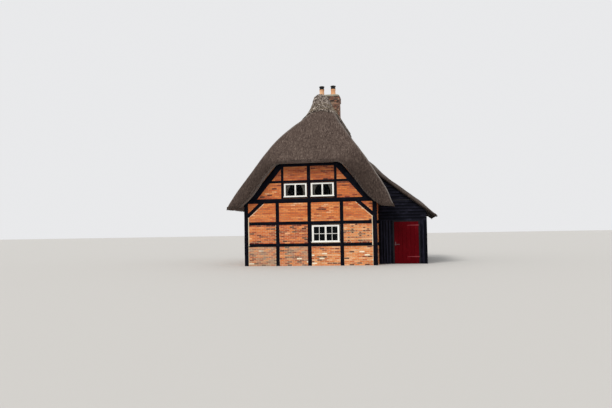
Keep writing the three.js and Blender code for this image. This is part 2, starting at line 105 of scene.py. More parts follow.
def extrudeUp(height):
    bpy.ops.mesh.extrude_region_move(TRANSFORM_OT_translate={"value": (0, 0, height)})


def turnOutwards():
    bpy.ops.mesh.select_all(action="SELECT")
    bpy.ops.mesh.normals_make_consistent(inside=False)


def settle():
    bpy.ops.object.transform_apply(location=True, rotation=True, scale=True)
    return bpy.context.object


def addBox(low, high):
    size = [b - a for a, b in zip(low, high)]
    centre = [(a + b) / 2 for a, b in zip(low, high)]
    clearSelection()
    bpy.ops.mesh.primitive_cube_add(size=1, location=centre, scale=size)
    return settle()


def addBlock(low, high, edge=0.004):
    block = addBox(low, high)
    startEditing(block)
    bevelPicked(edge, 2)
    return block


def addCylinder(sides, radius, depth, place=(0, 0, 0), turn=(0, 0, 0)):
    clearSelection()
    bpy.ops.mesh.primitive_cylinder_add(vertices=sides, radius=radius, depth=depth,
                                        location=place, rotation=turn)
    return settle()


def addSheet(columns, rows, spot):
    # a grid whose points are put in place by spot(column, row)
    clearSelection()
    bpy.ops.mesh.primitive_grid_add(x_subdivisions=columns, y_subdivisions=rows, size=1)
    sheet = bpy.context.object
    for number, vertex in enumerate(sheet.data.vertices):
        vertex.co = spot(number % (columns + 1), number // (columns + 1))
    return sheet


def placeMesh(piece, matrix):
    piece.data.transform(matrix)
    if matrix.is_negative:
        piece.data.flip_normals()


def copyOf(source, matrix):
    twin = source.copy()
    twin.data = source.data.copy()
    placeMesh(twin, matrix)
    bpy.context.scene.collection.objects.link(twin)
    return twin


def joinPieces(parts, name):
    clearSelection()
    for part in parts:
        part.select_set(True)
    bpy.context.view_layer.objects.active = parts[0]
    if len(parts) > 1:
        bpy.ops.object.join()
    whole = bpy.context.object
    whole.name = name
    whole.data.name = name
    return whole


def setLayer(piece, name, kind, values):
    layers = piece.data.attributes
    layer = layers.get(name) or layers.new(name, kind, "POINT")
    layer.data.foreach_set({"FLOAT": "value", "FLOAT_COLOR": "color", "FLOAT_VECTOR": "vector"}[kind], values)


def setNumber(piece, name, value):
    setLayer(piece, name, "FLOAT", [value] * len(piece.data.vertices))


def setZones(piece, zones):
    setLayer(piece, "zones", "FLOAT_COLOR", [part for zone in zones for part in zone])


def setGrain(piece, axis, seed):
    order = {"X": (0, 1, 2), "Y": (1, 0, 2), "Z": (2, 1, 0)}[axis]
    setLayer(piece, "grain", "FLOAT_VECTOR", [v.co[k] + seed for v in piece.data.vertices for k in order])


def smoothShading(piece, degrees=35):
    makeActive(piece)
    bpy.ops.object.shade_smooth_by_angle(angle=math.radians(degrees))


def dress(piece, finish, body="cottage", replaced=()):
    piece.data.materials.clear()
    piece.data.materials.append(finish)
    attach(piece, body)
    if replaced:
        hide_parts(*replaced)


def dressNodes(finish, *names):
    for name in names:
        for spot in cadNodes[name].material_slots:
            spot.material = finish


def clamp(value, low=0, high=1):
    return min(high, max(low, value))


def bell(distance, width):
    return math.exp(-(distance / width) ** 2)


def flipped(vector):
    return Vector((vector.x, -vector.y, vector.z))


def moved(x, y, z):
    return Matrix.Translation((x, y, z))


def wallAt(x, y, quarters):
    # a wall's own x runs along it, and its y into the house
    return moved(x, y, 0) @ Matrix.Rotation(quarters * math.pi / 2, 4, "Z")


def addRearTwin(front, finish, replaced=()):
    # the rear gable repeats the front one
    rear = copyOf(front, mirror)
    rear.name = front.name.replace("front", "rear")
    dress(rear, finish, replaced=replaced)


mirror = Matrix.Scale(-1, 4, (0, 1, 0))
frontWall = wallAt(0, -4.5, 0)
rearWall = wallAt(0, 4.5, 2)
leftWall = wallAt(-3.1, 0, -1)
rightWall = wallAt(3.1, 0, 1)


# Material building

def tint(red, green, blue):
    def linear(value):
        value /= 255
        return value / 12.92 if value <= 0.04045 else ((value + 0.055) / 1.055) ** 2.4
    return (linear(red), linear(green), linear(blue), 1)


class Finish:
    def __init__(self, name, roughness=0.8, metallic=0.0, gleam=0.5):
        self.material = bpy.data.materials.new(name)
        self.material.use_nodes = True
        self.tree = self.material.node_tree
        self.shader = next(n for n in self.tree.nodes if n.type == "BSDF_PRINCIPLED")
        self.normal = None
        for socket, value in (("Roughness", roughness), ("Metallic", metallic), ("Specular IOR Level", gleam)):
            self.give(socket, value)

    def plug(self, socket, source):
        if isinstance(source, bpy.types.NodeSocket):
            self.tree.links.new(source, socket)
        else:
            socket.default_value = source

    def give(self, socket, source):
        self.plug(self.shader.inputs[socket], source)

    def node(self, kind, sockets=None, **settings):
        made = self.tree.nodes.new("ShaderNode" + kind)
        for key, value in settings.items():
            setattr(made, key, value)
        for socket, source in (sockets or {}).items():
            self.plug(made.inputs[socket], source)
        return made

    def place(self, scale=(1, 1, 1), source=None):
        if source is None:
            source = self.node("TexCoord").outputs["Object"]
        return self.node("Mapping", {"Vector": source, "Scale": scale}).outputs["Vector"]

    def attribute(self, name, output="Fac"):
        return self.node("Attribute", attribute_name=name).outputs[output]

    def cloud(self, place, scale, detail=4, rough=0.55, distortion=0.0):
        return self.node("TexNoise", {"Vector": place, "Scale": scale, "Detail": detail, "Roughness": rough,
                                      "Distortion": distortion}).outputs["Fac"]

    def cells(self, place, scale, feature="F1"):
        return self.node("TexVoronoi", {"Vector": place, "Scale": scale}, feature=feature).outputs["Distance"]

    def spread(self, value, low, high, newLow=0.0, newHigh=1.0):
        return self.node("MapRange", {"Value": value, "From Min": low, "From Max": high,
                                      "To Min": newLow, "To Max": newHigh}).outputs["Result"]

    def ramp(self, value, stops):
        made = self.node("ValToRGB", {"Fac": value})
        band = made.color_ramp
        while len(band.elements) < len(stops):
            band.elements.new(0.5)
        for element, (position, colour) in zip(band.elements, stops):
            element.position = position
            element.color = colour
        return made.outputs["Color"]

    def blend(self, share, first, second, mode="MIX"):
        sources = {0: share, 6: first, 7: second}
        return self.node("Mix", sources, data_type="RGBA", blend_type=mode).outputs[2]

    def mix(self, share, first, second):
        return self.node("Mix", {0: share, 2: first, 3: second}).outputs[0]

    def maths(self, kind, first, second=0.5):
        return self.node("Math", {0: first, 1: second}, operation=kind).outputs[0]

    def plus(self, first, second):
        return self.maths("ADD", first, second)

    def times(self, first, second):
        return self.maths("MULTIPLY", first, second)

    def colour(self, source):
        self.give("Base Color", source)

    def rough(self, value, low, high):
        self.give("Roughness", self.spread(value, 0, 1, low, high))

    def relief(self, height, strength, distance):
        # each relief lies on the one before it
        made = self.node("Bump", {"Height": height, "Strength": strength, "Distance": distance})
        if self.normal is not None:
            self.plug(made.inputs["Normal"], self.normal)
        self.normal = made.outputs["Normal"]
        self.give("Normal", self.normal)


# Camera, light and floor

view = {
    "place": (4.6621, -31.7423, 1.6),
    "turnLeft": 10.0,
    "lookUp": 2.5726,
    "roll": -0.968,
    "lens": 600 * 36 / 612,
}


def addCamera():
    yaw, pitch, roll = (math.radians(view[k]) for k in ("turnLeft", "lookUp", "roll"))
    forward = Vector((-math.sin(yaw) * math.cos(pitch), math.cos(yaw) * math.cos(pitch), math.sin(pitch)))
    level = Vector((math.cos(yaw), math.sin(yaw), 0))
    upright = level.cross(forward)
    right = level * math.cos(roll) + upright * math.sin(roll)
    up = upright * math.cos(roll) - level * math.sin(roll)
    matrix = Matrix((right, up, -forward)).transposed().to_4x4()
    matrix.translation = Vector(view["place"])
    clearSelection()
    bpy.ops.object.camera_add()
    camera = bpy.context.object
    camera.matrix_world = matrix
    camera.data.lens = view["lens"]
    camera.data.sensor_width = 36
    camera.data.clip_end = 500
    bpy.context.scene.camera = camera


studio = {
    "sky": (0.98, 0.985, 1.0, 1),
    "skyStrength": 0.83,
    "sun": (1.0, 0.965, 0.91),
    "sunStrength": 1.55,
    "sunSoftness": 24.0,
    "sunPlace": (-6, -20, 20),
    "sunTilt": 44.0,
    "sunTurn": -28.0,
    "floor": tint(196, 194, 190),
    "floorSize": 420,
}


def addStudio():
    world = bpy.data.worlds.new("studio")
    bpy.context.scene.world = world
    world.use_nodes = True
    background = world.node_tree.nodes["Background"]
    background.inputs["Color"].default_value = studio["sky"]
    background.inputs["Strength"].default_value = studio["skyStrength"]
    clearSelection()
    bpy.ops.object.light_add(type="SUN", location=studio["sunPlace"], rotation=(
        math.radians(studio["sunTilt"]), 0, math.radians(studio["sunTurn"])))
    sun = bpy.context.object.data
    sun.energy = studio["sunStrength"]
    sun.angle = math.radians(studio["sunSoftness"])
    sun.color = studio["sun"]
    clearSelection()
    bpy.ops.mesh.primitive_plane_add(size=studio["floorSize"], location=(0, 0, 0))
    floor = bpy.context.object
    floor.name = "studioFloor"
    paper = Finish("floorPaper", 0.95)
    paper.colour(studio["floor"])
    floor.data.materials.append(paper.material)
    bpy.context.scene.view_settings.view_transform = "Standard"


addCamera()
addStudio()
print("stage: camera, light and floor")


# Finishes

def paintedTimber(name, dark, worn, gloss=0.5, gleam=0.12):
    f = Finish(name, gloss, 0.0, gleam)
    grain = f.attribute("grain", "Vector")
    long = f.cloud(f.place((1.6, 30, 30), grain), 2.2, 6, 0.62, 0.3)
    fine = f.cloud(f.place((5, 120, 120), grain), 2.0, 3)
    patch = f.cloud(f.place((1, 1, 1), grain), 2.3, 3)
    wear = f.spread(f.times(long, patch), 0.28, 0.44)
    # the faded layer pales the paint; on the weatherboards it also carries painted light and shade
    wear = f.plus(wear, f.times(f.attribute("faded"), f.spread(long, 0.2, 0.7)))
    colour = f.blend(f.maths("MINIMUM", wear, 1.0), dark, worn)
    f.colour(f.blend(f.spread(fine, 0.35, 0.7, 0, 0.35), colour, tint(4, 4, 7)))
    f.rough(long, gloss - 0.12, gloss + 0.25)
    f.relief(f.plus(long, f.times(fine, 0.35)), 0.55, 0.012)
    return f.material


def weatheredBrick(name, stops, faded, sootAndEaveShade):
    f = Finish(name, 0.88)
    place = f.place()
    mottle = f.cloud(place, 42, 5, 0.65)
    broad = f.cloud(place, 1.7)
    speck = f.cells(place, 95)
    colour = f.ramp(f.plus(f.attribute("tone"), f.spread(mottle, 0.25, 0.75, -0.14, 0.14)), stops)
    colour = f.blend(f.times(f.attribute("faded"), f.spread(broad, 0.3, 0.6)), colour, faded)
    colour = f.blend(f.spread(broad, 0.5, 0.75, 0, 0.4), colour, sootAndEaveShade, "MULTIPLY")
    colour = f.blend(f.spread(speck, 0.0, 0.12, 0.45, 0), colour, tint(70, 40, 30), "MULTIPLY")
    height = f.node("SeparateXYZ", {"Vector": place}).outputs["Z"]
    # painted shade: the bricks darken towards the tops of the walls, as in the eaves' shadow; anything higher,
    # such as the stack, gets all of it
    f.colour(f.blend(f.spread(height, 3.7, 4.7), colour, sootAndEaveShade, "MULTIPLY"))
    f.rough(mottle, 0.75, 1.0)
    f.relief(mottle, 0.45, 0.006)
    f.relief(speck, 0.25, 0.003)
    return f.material


def limeMortar(name, low, high, dirt):
    f = Finish(name, 0.95)
    place = f.place()
    height = f.node("SeparateXYZ", {"Vector": place}).outputs["Z"]
    sand = f.cloud(place, 160, 3, 0.7)
    broad = f.cloud(place, 2.6, 5)
    colour = f.blend(f.spread(height, 1.7, 2.3), low, high)
    colour = f.blend(f.spread(broad, 0.4, 0.7, 0, 0.6), colour, dirt)
    f.colour(f.blend(f.spread(sand, 0.3, 0.7, 0.3, 0), colour, tint(120, 92, 66), "MULTIPLY"))
    f.relief(sand, 0.5, 0.004)
    return f.material


def strawThatch(name, stops, light, netted=0.0, speckled=0.35):
    f = Finish(name, 0.95, 0.0, 0.2)
    normal = f.node("SeparateXYZ", {"Vector": f.node("NewGeometry").outputs["Normal"]}).outputs
    sideways, frontal = (f.maths("ABSOLUTE", normal[axis]) for axis in "XY")
    facing = f.spread(f.maths("SUBTRACT", frontal, sideways), -0.05, 0.05)
    # zones: red marks cut straw ends, green paints a highlight (on loose tufts it is pale straw), blue darkens
    zones = f.node("SeparateColor", {"Color": f.attribute("zones", "Color")}).outputs
    place = f.place()

    def combed(across, along, detail=4, rough=0.65):
        # straw runs down the roof, whichever way the roof faces
        return f.mix(facing, f.cloud(f.place((along, across, along)), 1, detail, rough),
                     f.cloud(f.place((across, along, along)), 1, detail, rough))

    fine = combed(130, 8)
    bundle = combed(24, 2.6, 5)
    mottle = f.cloud(place, 12, 4, 0.72)
    tufted = combed(26, 9, 4, 0.72)
    ends = f.cells(place, 62)
    broad = f.cloud(place, 0.9, 5, 0.6)
    value = f.plus(f.times(fine, 0.5), f.times(bundle, 0.5))
    cut = f.plus(f.spread(ends, 0.0, 0.55, 0.44, 0.1), f.times(mottle, 0.45))
    value = f.mix(zones["Red"], value, cut)
    value = f.plus(value, f.spread(tufted, 0.3, 0.7, -speckled / 2, speckled / 2))
    if netted:
        clumps = combed(17, 9, 2, 0.6)
        value = f.plus(value, f.spread(clumps, 0.38, 0.62, -netted, netted))
    colour = f.blend(f.spread(broad, 0.38, 0.68, 0, 0.45), f.ramp(value, stops), stops[1][1])
    colour = f.blend(zones["Blue"], colour, tint(142, 132, 120), "MULTIPLY")
    # painted highlight: the pale tint where the green zone is set
    colour = f.blend(f.times(zones["Green"], f.spread(fine, 0.32, 0.6)), colour, light)
    if netted:
        # the netting drawn as darker lines, partly the wire and partly painted shade along it
        netWiresAndShade = f.cells(place, 27, "DISTANCE_TO_EDGE")
        colour = f.blend(f.spread(netWiresAndShade, 0.02, 0.035, 0.5, 0), colour, tint(92, 90, 86))
    f.colour(colour)
    f.relief(tufted, 0.5, 0.03)
    f.relief(bundle, 0.45, 0.03)
    f.relief(fine, 0.6, 0.014)
    if netted:
        f.relief(clumps, 0.6, 0.03)
        f.relief(f.spread(netWiresAndShade, 0.0, 0.035, 1, 0), 0.3, 0.002)
    return f.material


def plainPaint(name, colour, worn, gloss, scale, metallic=0.0, streaks=(3, 3, 3)):
    f = Finish(name, gloss, metallic, 0.3)
    place = f.place(streaks)
    broad = f.cloud(place, scale, 6, 0.6)
    fine = f.cloud(place, scale * 9, 4, 0.6)
    f.colour(f.blend(f.spread(f.times(broad, fine), 0.29, 0.42), colour, worn))
    f.rough(fine, gloss - 0.1, min(1, gloss + 0.2))
    f.relief(f.plus(fine, broad), 0.3, 0.003)
    return f.material


def speckledStone(name, low, high, spots, scale):
    f = Finish(name, 0.95)
    place = f.place()
    grit = f.cloud(place, scale, 5, 0.7)
    broad = f.cloud(place, scale * 0.07)
    lichen = f.cloud(place, scale * 0.28, 6, 0.7)
    colour = f.blend(f.spread(broad, 0.35, 0.65), low, high)
    colour = f.blend(f.spread(lichen, 0.56, 0.66), colour, spots)
    f.colour(f.blend(f.spread(grit, 0.3, 0.7, 0.25, 0), colour, tint(90, 80, 70), "MULTIPLY"))
    f.relief(f.plus(grit, lichen), 0.5, 0.006)
    return f.material


def windowGlass(name, thickness):
    f = Finish(name, 0.06, 0.0, 0.06)
    place = f.place()
    hazeAndShade = f.cloud(place, 2.6)
    # painted shade: a near-black colour with the given opacity (thickness) stands in for the dark rooms behind
    # the panes
    f.colour(f.blend(f.spread(hazeAndShade, 0.35, 0.7), tint(1, 3, 4), tint(10, 13, 15)))
    f.give("Alpha", thickness)
    f.give("IOR", 1.5)
    f.rough(hazeAndShade, 0.03, 0.12)
    f.relief(f.cloud(place, 7, 2), 0.12, 0.01)
    return f.material


def wovenCloth(name, light, shade):
    f = Finish(name, 0.9, 0.0, 0.2)
    place = f.place()
    threads = f.node("TexWave", {"Vector": place, "Scale": 160, "Distortion": 2.0, "Detail": 2}).outputs["Fac"]
    colour = f.blend(f.spread(f.cloud(place, 3), 0.35, 0.7, 0, 0.7), light, shade)
    f.colour(f.blend(f.times(threads, 0.25), colour, shade))
    f.give("Sheen Weight", 0.2)
    f.relief(threads, 0.3, 0.001)
    return f.material


def floorPattern(name, first, second, joint, width, height):
    f = Finish(name, 0.85)
    place = f.place()
    units = f.node("TexBrick", {
        "Vector": place, "Color1": first, "Color2": second, "Mortar": joint, "Scale": 1.0,
        "Mortar Size": 0.008, "Brick Width": width, "Row Height": height}).outputs
    grain = f.cloud(place, 14, 6, 0.65)
    f.colour(f.blend(f.spread(grain, 0.3, 0.7, 0, 0.5), units["Color"], tint(60, 48, 38)))
    f.relief(f.maths("SUBTRACT", grain, units["Fac"]), 0.4, 0.006)
    return f.material


blackTimber = paintedTimber("blackTimber", tint(4, 6, 18), tint(34, 36, 48), 0.5, 0.06)
tarredBoards = paintedTimber("tarredBoards", tint(1, 2, 11), tint(44, 44, 60), 0.45, 0.06)
redBoards = paintedTimber("redBoards", tint(88, 0, 8), tint(116, 14, 24), 0.42, 0.04)
# the rail's pale grey is partly wear and partly a painted highlight along its top edge
wornTimberPaintedHighlight = paintedTimber("wornTimberPaintedHighlight", tint(42, 42, 48), tint(84, 82, 80), 0.7)
hazelRod = paintedTimber("hazelRod", tint(140, 126, 106), tint(176, 162, 140), 0.8)
# the last tint of each brick finish darkens it, as soot in patches and as painted shade under the eaves
panelBrick = weatheredBrick("panelBrick", [
    (0.0, tint(84, 34, 26)), (0.14, tint(146, 60, 34)), (0.32, tint(196, 96, 48)),
    (0.6, tint(224, 128, 62)), (0.82, tint(236, 158, 98)), (1.0, tint(250, 236, 212))],
    tint(168, 146, 128), tint(186, 168, 152))
stackBrick = weatheredBrick("stackBrick", [
    (0.0, tint(48, 24, 24)), (0.35, tint(138, 74, 56)), (0.7, tint(184, 122, 94)), (1.0, tint(212, 182, 160))],
    tint(162, 142, 124), tint(212, 204, 196))
panelMortar = limeMortar("panelMortar", tint(232, 204, 160), tint(168, 106, 68), tint(176, 146, 116))
filletMortar = limeMortar("filletMortar", tint(244, 226, 194), tint(244, 226, 194), tint(206, 180, 148))
# roofStraw's pale last tint is the painted highlight along rims and edges
roofStraw = strawThatch("roofStraw", [
    (0.22, tint(34, 26, 22)), (0.45, tint(76, 63, 57)), (0.6, tint(101, 87, 79)), (0.82, tint(148, 134, 124))],
    tint(172, 164, 158), 0.0, 0.48)
ridgeStraw = strawThatch("ridgeStraw", [
    (0.12, tint(44, 36, 32)), (0.4, tint(98, 86, 78)), (0.6, tint(148, 136, 125)), (0.88, tint(214, 204, 193))],
    tint(222, 212, 200), 0.38, 0.34)
stackMortar = speckledStone("stackMortar", tint(126, 112, 100), tint(150, 136, 122), tint(120, 124, 104), 90)
capCement = speckledStone("capCement", tint(150, 146, 130), tint(176, 170, 152), tint(116, 120, 98), 60)
clayPot = speckledStone("clayPot", tint(232, 166, 116), tint(246, 200, 158), tint(196, 150, 118), 40)
whitePaint = plainPaint("whitePaint", tint(246, 246, 241), tint(206, 202, 192), 0.42, 3.0, 0.0, (6, 6, 6))
blackIron = plainPaint("blackIron", tint(7, 8, 11), tint(42, 35, 32), 0.5, 14)
wornIron = plainPaint("wornIron", tint(108, 82, 86), tint(66, 46, 44), 0.45, 14, 0.3)
# the straps' paler red is partly their paint and partly a painted glint along their edges
redIron = plainPaint("redIron", tint(134, 48, 54), tint(92, 38, 40), 0.45, 10)
plainTar = plainPaint("plainTar", tint(4, 5, 14), tint(28, 28, 36), 0.6, 2.0, 0.0, (14, 14, 1.2))
# the lower panes are nearly opaque painted shade; the upper ones let the curtains show
glassWithPaintedShade = windowGlass("glassWithPaintedShade", 0.94)
glassWithLightPaintedShade = windowGlass("glassWithLightPaintedShade", 0.42)
linen = wovenCloth("linen", tint(246, 243, 236), tint(222, 216, 204))
brickFloor = floorPattern("brickFloor", tint(150, 92, 70), tint(126, 84, 68), tint(120, 110, 98), 0.23, 0.115)
plankFloor = floorPattern("plankFloor", tint(138, 104, 74), tint(118, 86, 60), tint(40, 30, 22), 2.4, 0.18)
print("stage: finishes")


# Brickwork

brickwork = {
    "length": 0.215, "height": 0.061, "course": 0.075, "header": 0.1025,
    "margin": 0.011, "proud": 0.0045, "buried": 0.008, "edge": 0.0035,
    "variants": 5, "warp": (0.0018, 0.0014), "tilt": 0.006, "depths": (0.75, 1.1),
    "shortest": 0.025, "headerUnder": 0.12, "mostCourses": 60,
    # tones run from 0, burnt, to 1, nearly white
    "palest": 0.84, "burnt": (-0.05, 0.1), "white": (1.05, 1.2),
}


def makeBricks():
    w = brickwork
    made = []
    dice = random.Random(11)
    front = 0.0005 - w["proud"]
    warpX, warpZ = w["warp"]
    for _ in range(w["variants"]):
        brick = addBox((-w["length"] / 2, -w["proud"], -w["height"] / 2),
                       (w["length"] / 2, w["buried"], w["height"] / 2))
        pickEdges(brick, lambda p, q: max(p.y, q.y) < front)
        bevelPicked(w["edge"])
        for vertex in brick.data.vertices:
            vertex.co.x += dice.uniform(-warpX, warpX)
            vertex.co.z += dice.uniform(-warpZ, warpZ)
        setNumber(brick, "tone", 0.5)
        setNumber(brick, "faded", 0.0)
        made.append(brick)
    return made


def courses(low, high, bottom, top, mood, dice):
    # each brick's row, middle x and z, length and height
    joint = mood["joint"]
    rows = max(1, round((top - bottom) / brickwork["course"]))
    rise = (top - bottom) / rows
    lengths = (brickwork["length"], brickwork["header"])[:2 if mood["headers"] else 1]
    pitch = sum(lengths) + joint * len(lengths)
    start = dice.uniform(0, pitch)
    for row in range(rows):
        left = low - (start + (row % 2) * pitch / 2) % pitch
        count = 0
        while left < high:
            length = lengths[count % len(lengths)]
            a, b = max(left, low), min(left + length, high)
            if b - a > brickwork["shortest"]:
                yield row, (a + b) / 2, bottom + (row + 0.5) * rise, b - a, rise - joint
            left += length + joint
            count += 1


def brickTone(mood, length, batch, dice):
    tone = min(brickwork["palest"], dice.gauss(mood["tone"], mood["range"]) + batch)
    luck = dice.random()
    if luck < (mood["headers"] if length < brickwork["headerUnder"] else mood["dark"]):
        return dice.uniform(*brickwork["burnt"])
    if luck > 1 - mood["pale"]:
        return dice.uniform(*brickwork["white"])
    return tone


def layBricks(panels, wall, name, dice, skip=None, margin=brickwork["margin"]):
    w = brickwork
    laid = []
    for low, high, bottom, top, mood in panels:
        batches = [dice.gauss(0, mood["batches"]) for _ in range(w["mostCourses"])]
        for row, x, z, length, height in courses(low + margin, high - margin, bottom, top - margin / 2,
                                                 mood, dice):
            if skip and skip(x, z):
                continue
            turn = Matrix.Rotation(dice.uniform(-w["tilt"], w["tilt"]), 4, "Y")
            size = Matrix.Diagonal((length / w["length"], dice.uniform(*w["depths"]), height / w["height"], 1))
            brick = copyOf(dice.choice(brickModels), wall @ moved(x, 0, z) @ turn @ size)
            setNumber(brick, "tone", brickTone(mood, length, batches[row], dice))
            setNumber(brick, "faded", mood["faded"] * dice.uniform(0.3, 1))
            laid.append(brick)
    return joinPieces(laid, name)


# how the bricks of a panel vary: dark, pale and headers are shares of them
calm = {"tone": 0.49, "range": 0.10, "dark": 0.0, "pale": 0.0, "faded": 0.0, "headers": 0, "joint": 0.016,
        "batches": 0.09}
upper = {**calm, "tone": 0.42, "range": 0.14, "dark": 0.03}
plain = {**calm, "tone": 0.33, "range": 0.15, "dark": 0.07, "joint": 0.011}
soft = {**calm, "tone": 0.46, "range": 0.16, "dark": 0.07, "pale": 0.04, "faded": 0.25}
mixed = {**calm, "tone": 0.55, "range": 0.17, "dark": 0.08, "pale": 0.02, "headers": 0.45, "batches": 0.20,
         "joint": 0.019}
lively = {**calm, "tone": 0.53, "range": 0.13, "dark": 0.03}
streaky = {**calm, "tone": 0.56, "range": 0.19, "dark": 0.13, "pale": 0.04, "joint": 0.017, "batches": 0.17}
greyed = {**calm, "tone": 0.38, "range": 0.2, "dark": 0.12, "pale": 0.02, "faded": 1.0, "joint": 0.014}

# panels by row: bottom, top, the bays from left to right, and the mood of each
gableBays = [(-2.91, -1.572), (-1.428, -0.072), (0.072, 1.428), (1.572, 2.91)]
gableRows = [
    (0.0, 0.888, gableBays, (greyed, greyed, streaky, streaky)),
    (1.03, 1.9, gableBays, (plain, plain, None, mixed)),
    (2.04, 2.915, gableBays, (calm, calm, lively, lively)),
    (3.105, 3.85, [(-2.75, -1.3), (1.3, 2.75)], (upper, upper)),
    (3.95, 4.6, [(-2.3, -1.3), (-1.19, -0.072), (0.072, 1.19), (1.3, 2.3)], (upper,) * 4),
]
sideBays = [(-4.31, -3.072), (-2.928, -1.572), (-1.428, -0.072), (0.072, 1.428), (1.572, 2.928), (3.072, 4.31)]
sideRows = [(0.0, 0.888), (1.03, 1.9), (2.04, 2.96)]
rafter = {"top": (1.300, 4.738), "foot": (2.640, 3.140), "cover": 0.05}


def pastRafter(x, z):
    (topX, topZ), (footX, footZ) = rafter["top"], rafter["foot"]
    share = (topZ - z) / (topZ - footZ)
    return abs(x) > topX + share * (footX - topX) + rafter["cover"]


def buildGableBricks():
    panels = [(low, high, bottom, top, mood) for bottom, top, bays, moods in gableRows
              for (low, high), mood in zip(bays, moods) if mood]
    front = layBricks(panels, frontWall, "frontGableBricks", random.Random(4), pastRafter)
    addRearTwin(front, panelBrick)
    dress(front, panelBrick)


def buildSideBricks():
    dice = random.Random(9)
    left, right = [], []
    for low, high in sideBays:
        for bottom, top in sideRows:
            mood = soft if bottom < 1 else calm
            hasWindow = bottom == 1.03 and low in (-2.928, 1.572)
            inDoorway = low == -1.428 and top < 2
            if not hasWindow:
                left.append((-high, -low, bottom, top, mood))
            if not inDoorway:
                right.append((low, high, bottom, top, mood))
    dress(layBricks(left, leftWall, "leftSideBricks", dice), panelBrick)
    dress(layBricks(right, rightWall, "rightSideBricks", dice), panelBrick)


brickModels = makeBricks()
buildGableBricks()
buildSideBricks()
dressNodes(panelMortar, "front_gable_wall", "rear_gable_wall", "left_side_wall", "right_side_wall_front",
           "right_side_wall_rear", "right_side_wall_over_doorway")
print("stage: brickwork")


# Timber frames

timberwork = {
    "edge": 0.010,
    "wobble": 0.0045,
    "bow": 0.0018,
    "step": 0.2,
    "depth": 0.15,
    "pegRadius": 0.011,
    "pegLength": 0.012,
    "pegProud": 0.013,
}
timberCount = [0]

# start, end, width, how far it stands out and its depth, where that isn't the usual one
gableTimbers = [
    ((-3.09, 0.96), (3.09, 0.96), 0.16, 0.006), ((-3.09, 1.97), (3.09, 1.97), 0.16, 0.006),
    ((-3.095, 3.01), (3.095, 3.01), 0.2, 0.012), ((0, 0), (0, 0.93), 0.185, 0.009),
    ((0, 0.9), (0, 2.95), 0.17, 0.010), ((0, 3.05), (0, 4.66), 0.155, 0.009),
    ((-1.9, 3.9), (1.9, 3.9), 0.11, 0.006), ((-1.35, 4.665), (1.35, 4.665), 0.14, 0.011),
]
pairedTimbers = [
    ((3.0025, 0), (3.0025, 3.08), 0.193, 0.010, 0.2), ((1.5, 0), (1.5, 0.93), 0.18, 0.009),
    ((1.5, 0.9), (1.5, 2.95), 0.165, 0.010), ((1.245, 3.05), (1.245, 4.64), 0.12, 0.008),
    ((1.3, 4.71), (2.73, 3.005), 0.28, 0.007), ((2.215, 2.96), (2.96, 2.3), 0.165, 0.008),
]
filletLines = [
    ((2.149, 2.885), (2.894, 2.2255), 0.038, 0.0045, 0.02), ((2.886, 0.92), (2.886, 2.26), 0.044, 0.0095, 0.02),
    ((2.893, 0.02), (2.893, 0.92), 0.024, 0.0045, 0.02), ((1.421, 0.02), (1.421, 0.885), 0.024, 0.0045, 0.02),
    ((0.079, 0.02), (0.079, 0.885), 0.024, 0.0045, 0.02), ((1.581, 1.045), (1.581, 1.885), 0.024, 0.0045, 0.02),
]


def hewnTimber(start, end, width, proud, depth=timberwork["depth"]):
    first, last = Vector((start[0], 0, start[1])), Vector((end[0], 0, end[1]))
    length = (last - first).length
    beam = addBox((0, -proud, -width / 2), (length, depth, width / 2))
    cutAcross(beam, 0, round(length / timberwork["step"]))
    front = 0.001 - proud
    pickEdges(beam, lambda p, q: max(p.y, q.y) < front and abs(p.z - q.z) < 1e-4)
    bevelPicked(timberwork["edge"], 2)
    timberCount[0] += 1
    seed = timberCount[0] * 3.7
    grain = []
    for vertex in beam.data.vertices:
        grain.extend((vertex.co.x + seed, vertex.co.y, vertex.co.z + seed))
        sway = noise.noise_vector(Vector((vertex.co.x * 2.1 + seed, vertex.co.z * 4, seed)))
        vertex.co.z += sway.x * timberwork["wobble"] * 2
        if vertex.co.y < 0:
            vertex.co.y += sway.y * timberwork["bow"]
    setLayer(beam, "grain", "FLOAT_VECTOR", grain)
    run = (last - first).normalized()
    turn = Matrix((run, Vector((0, 1, 0)), run.cross(Vector((0, 1, 0))))).transposed().to_4x4()
    beam.data.transform(Matrix.Translation(first) @ turn)
    return beam


def sideTimber(side, start, end, *sizes):
    return hewnTimber((side * start[0], start[1]), (side * end[0], end[1]), *sizes)


def makePeg():
    peg = addCylinder(8, timberwork["pegRadius"], timberwork["pegLength"], turn=(math.pi / 2, 0, 0))
    pickFaces(peg, lambda normal: normal.y < -0.9)
    bpy.ops.mesh.inset(thickness=0.003, depth=0.002)
    doneEditing()
    setLayer(peg, "grain", "FLOAT_VECTOR", [0.3] * (3 * len(peg.data.vertices)))
    return peg


def postPegs(x):
    # pairs of pegs where a post meets the two rails
    return [(x + 0.03, 2.0), (x - 0.03, 1.94), (x + 0.03, 0.99), (x - 0.03, 0.93)]


def joinFrame(parts, pegPlaces, name, wall):
    pegs = [copyOf(pegModel, moved(x, -timberwork["pegProud"], z)) for x, z in pegPlaces]
    whole = joinPieces(parts + pegs, name)
    smoothShading(whole)
    whole.data.transform(wall)
    return whole


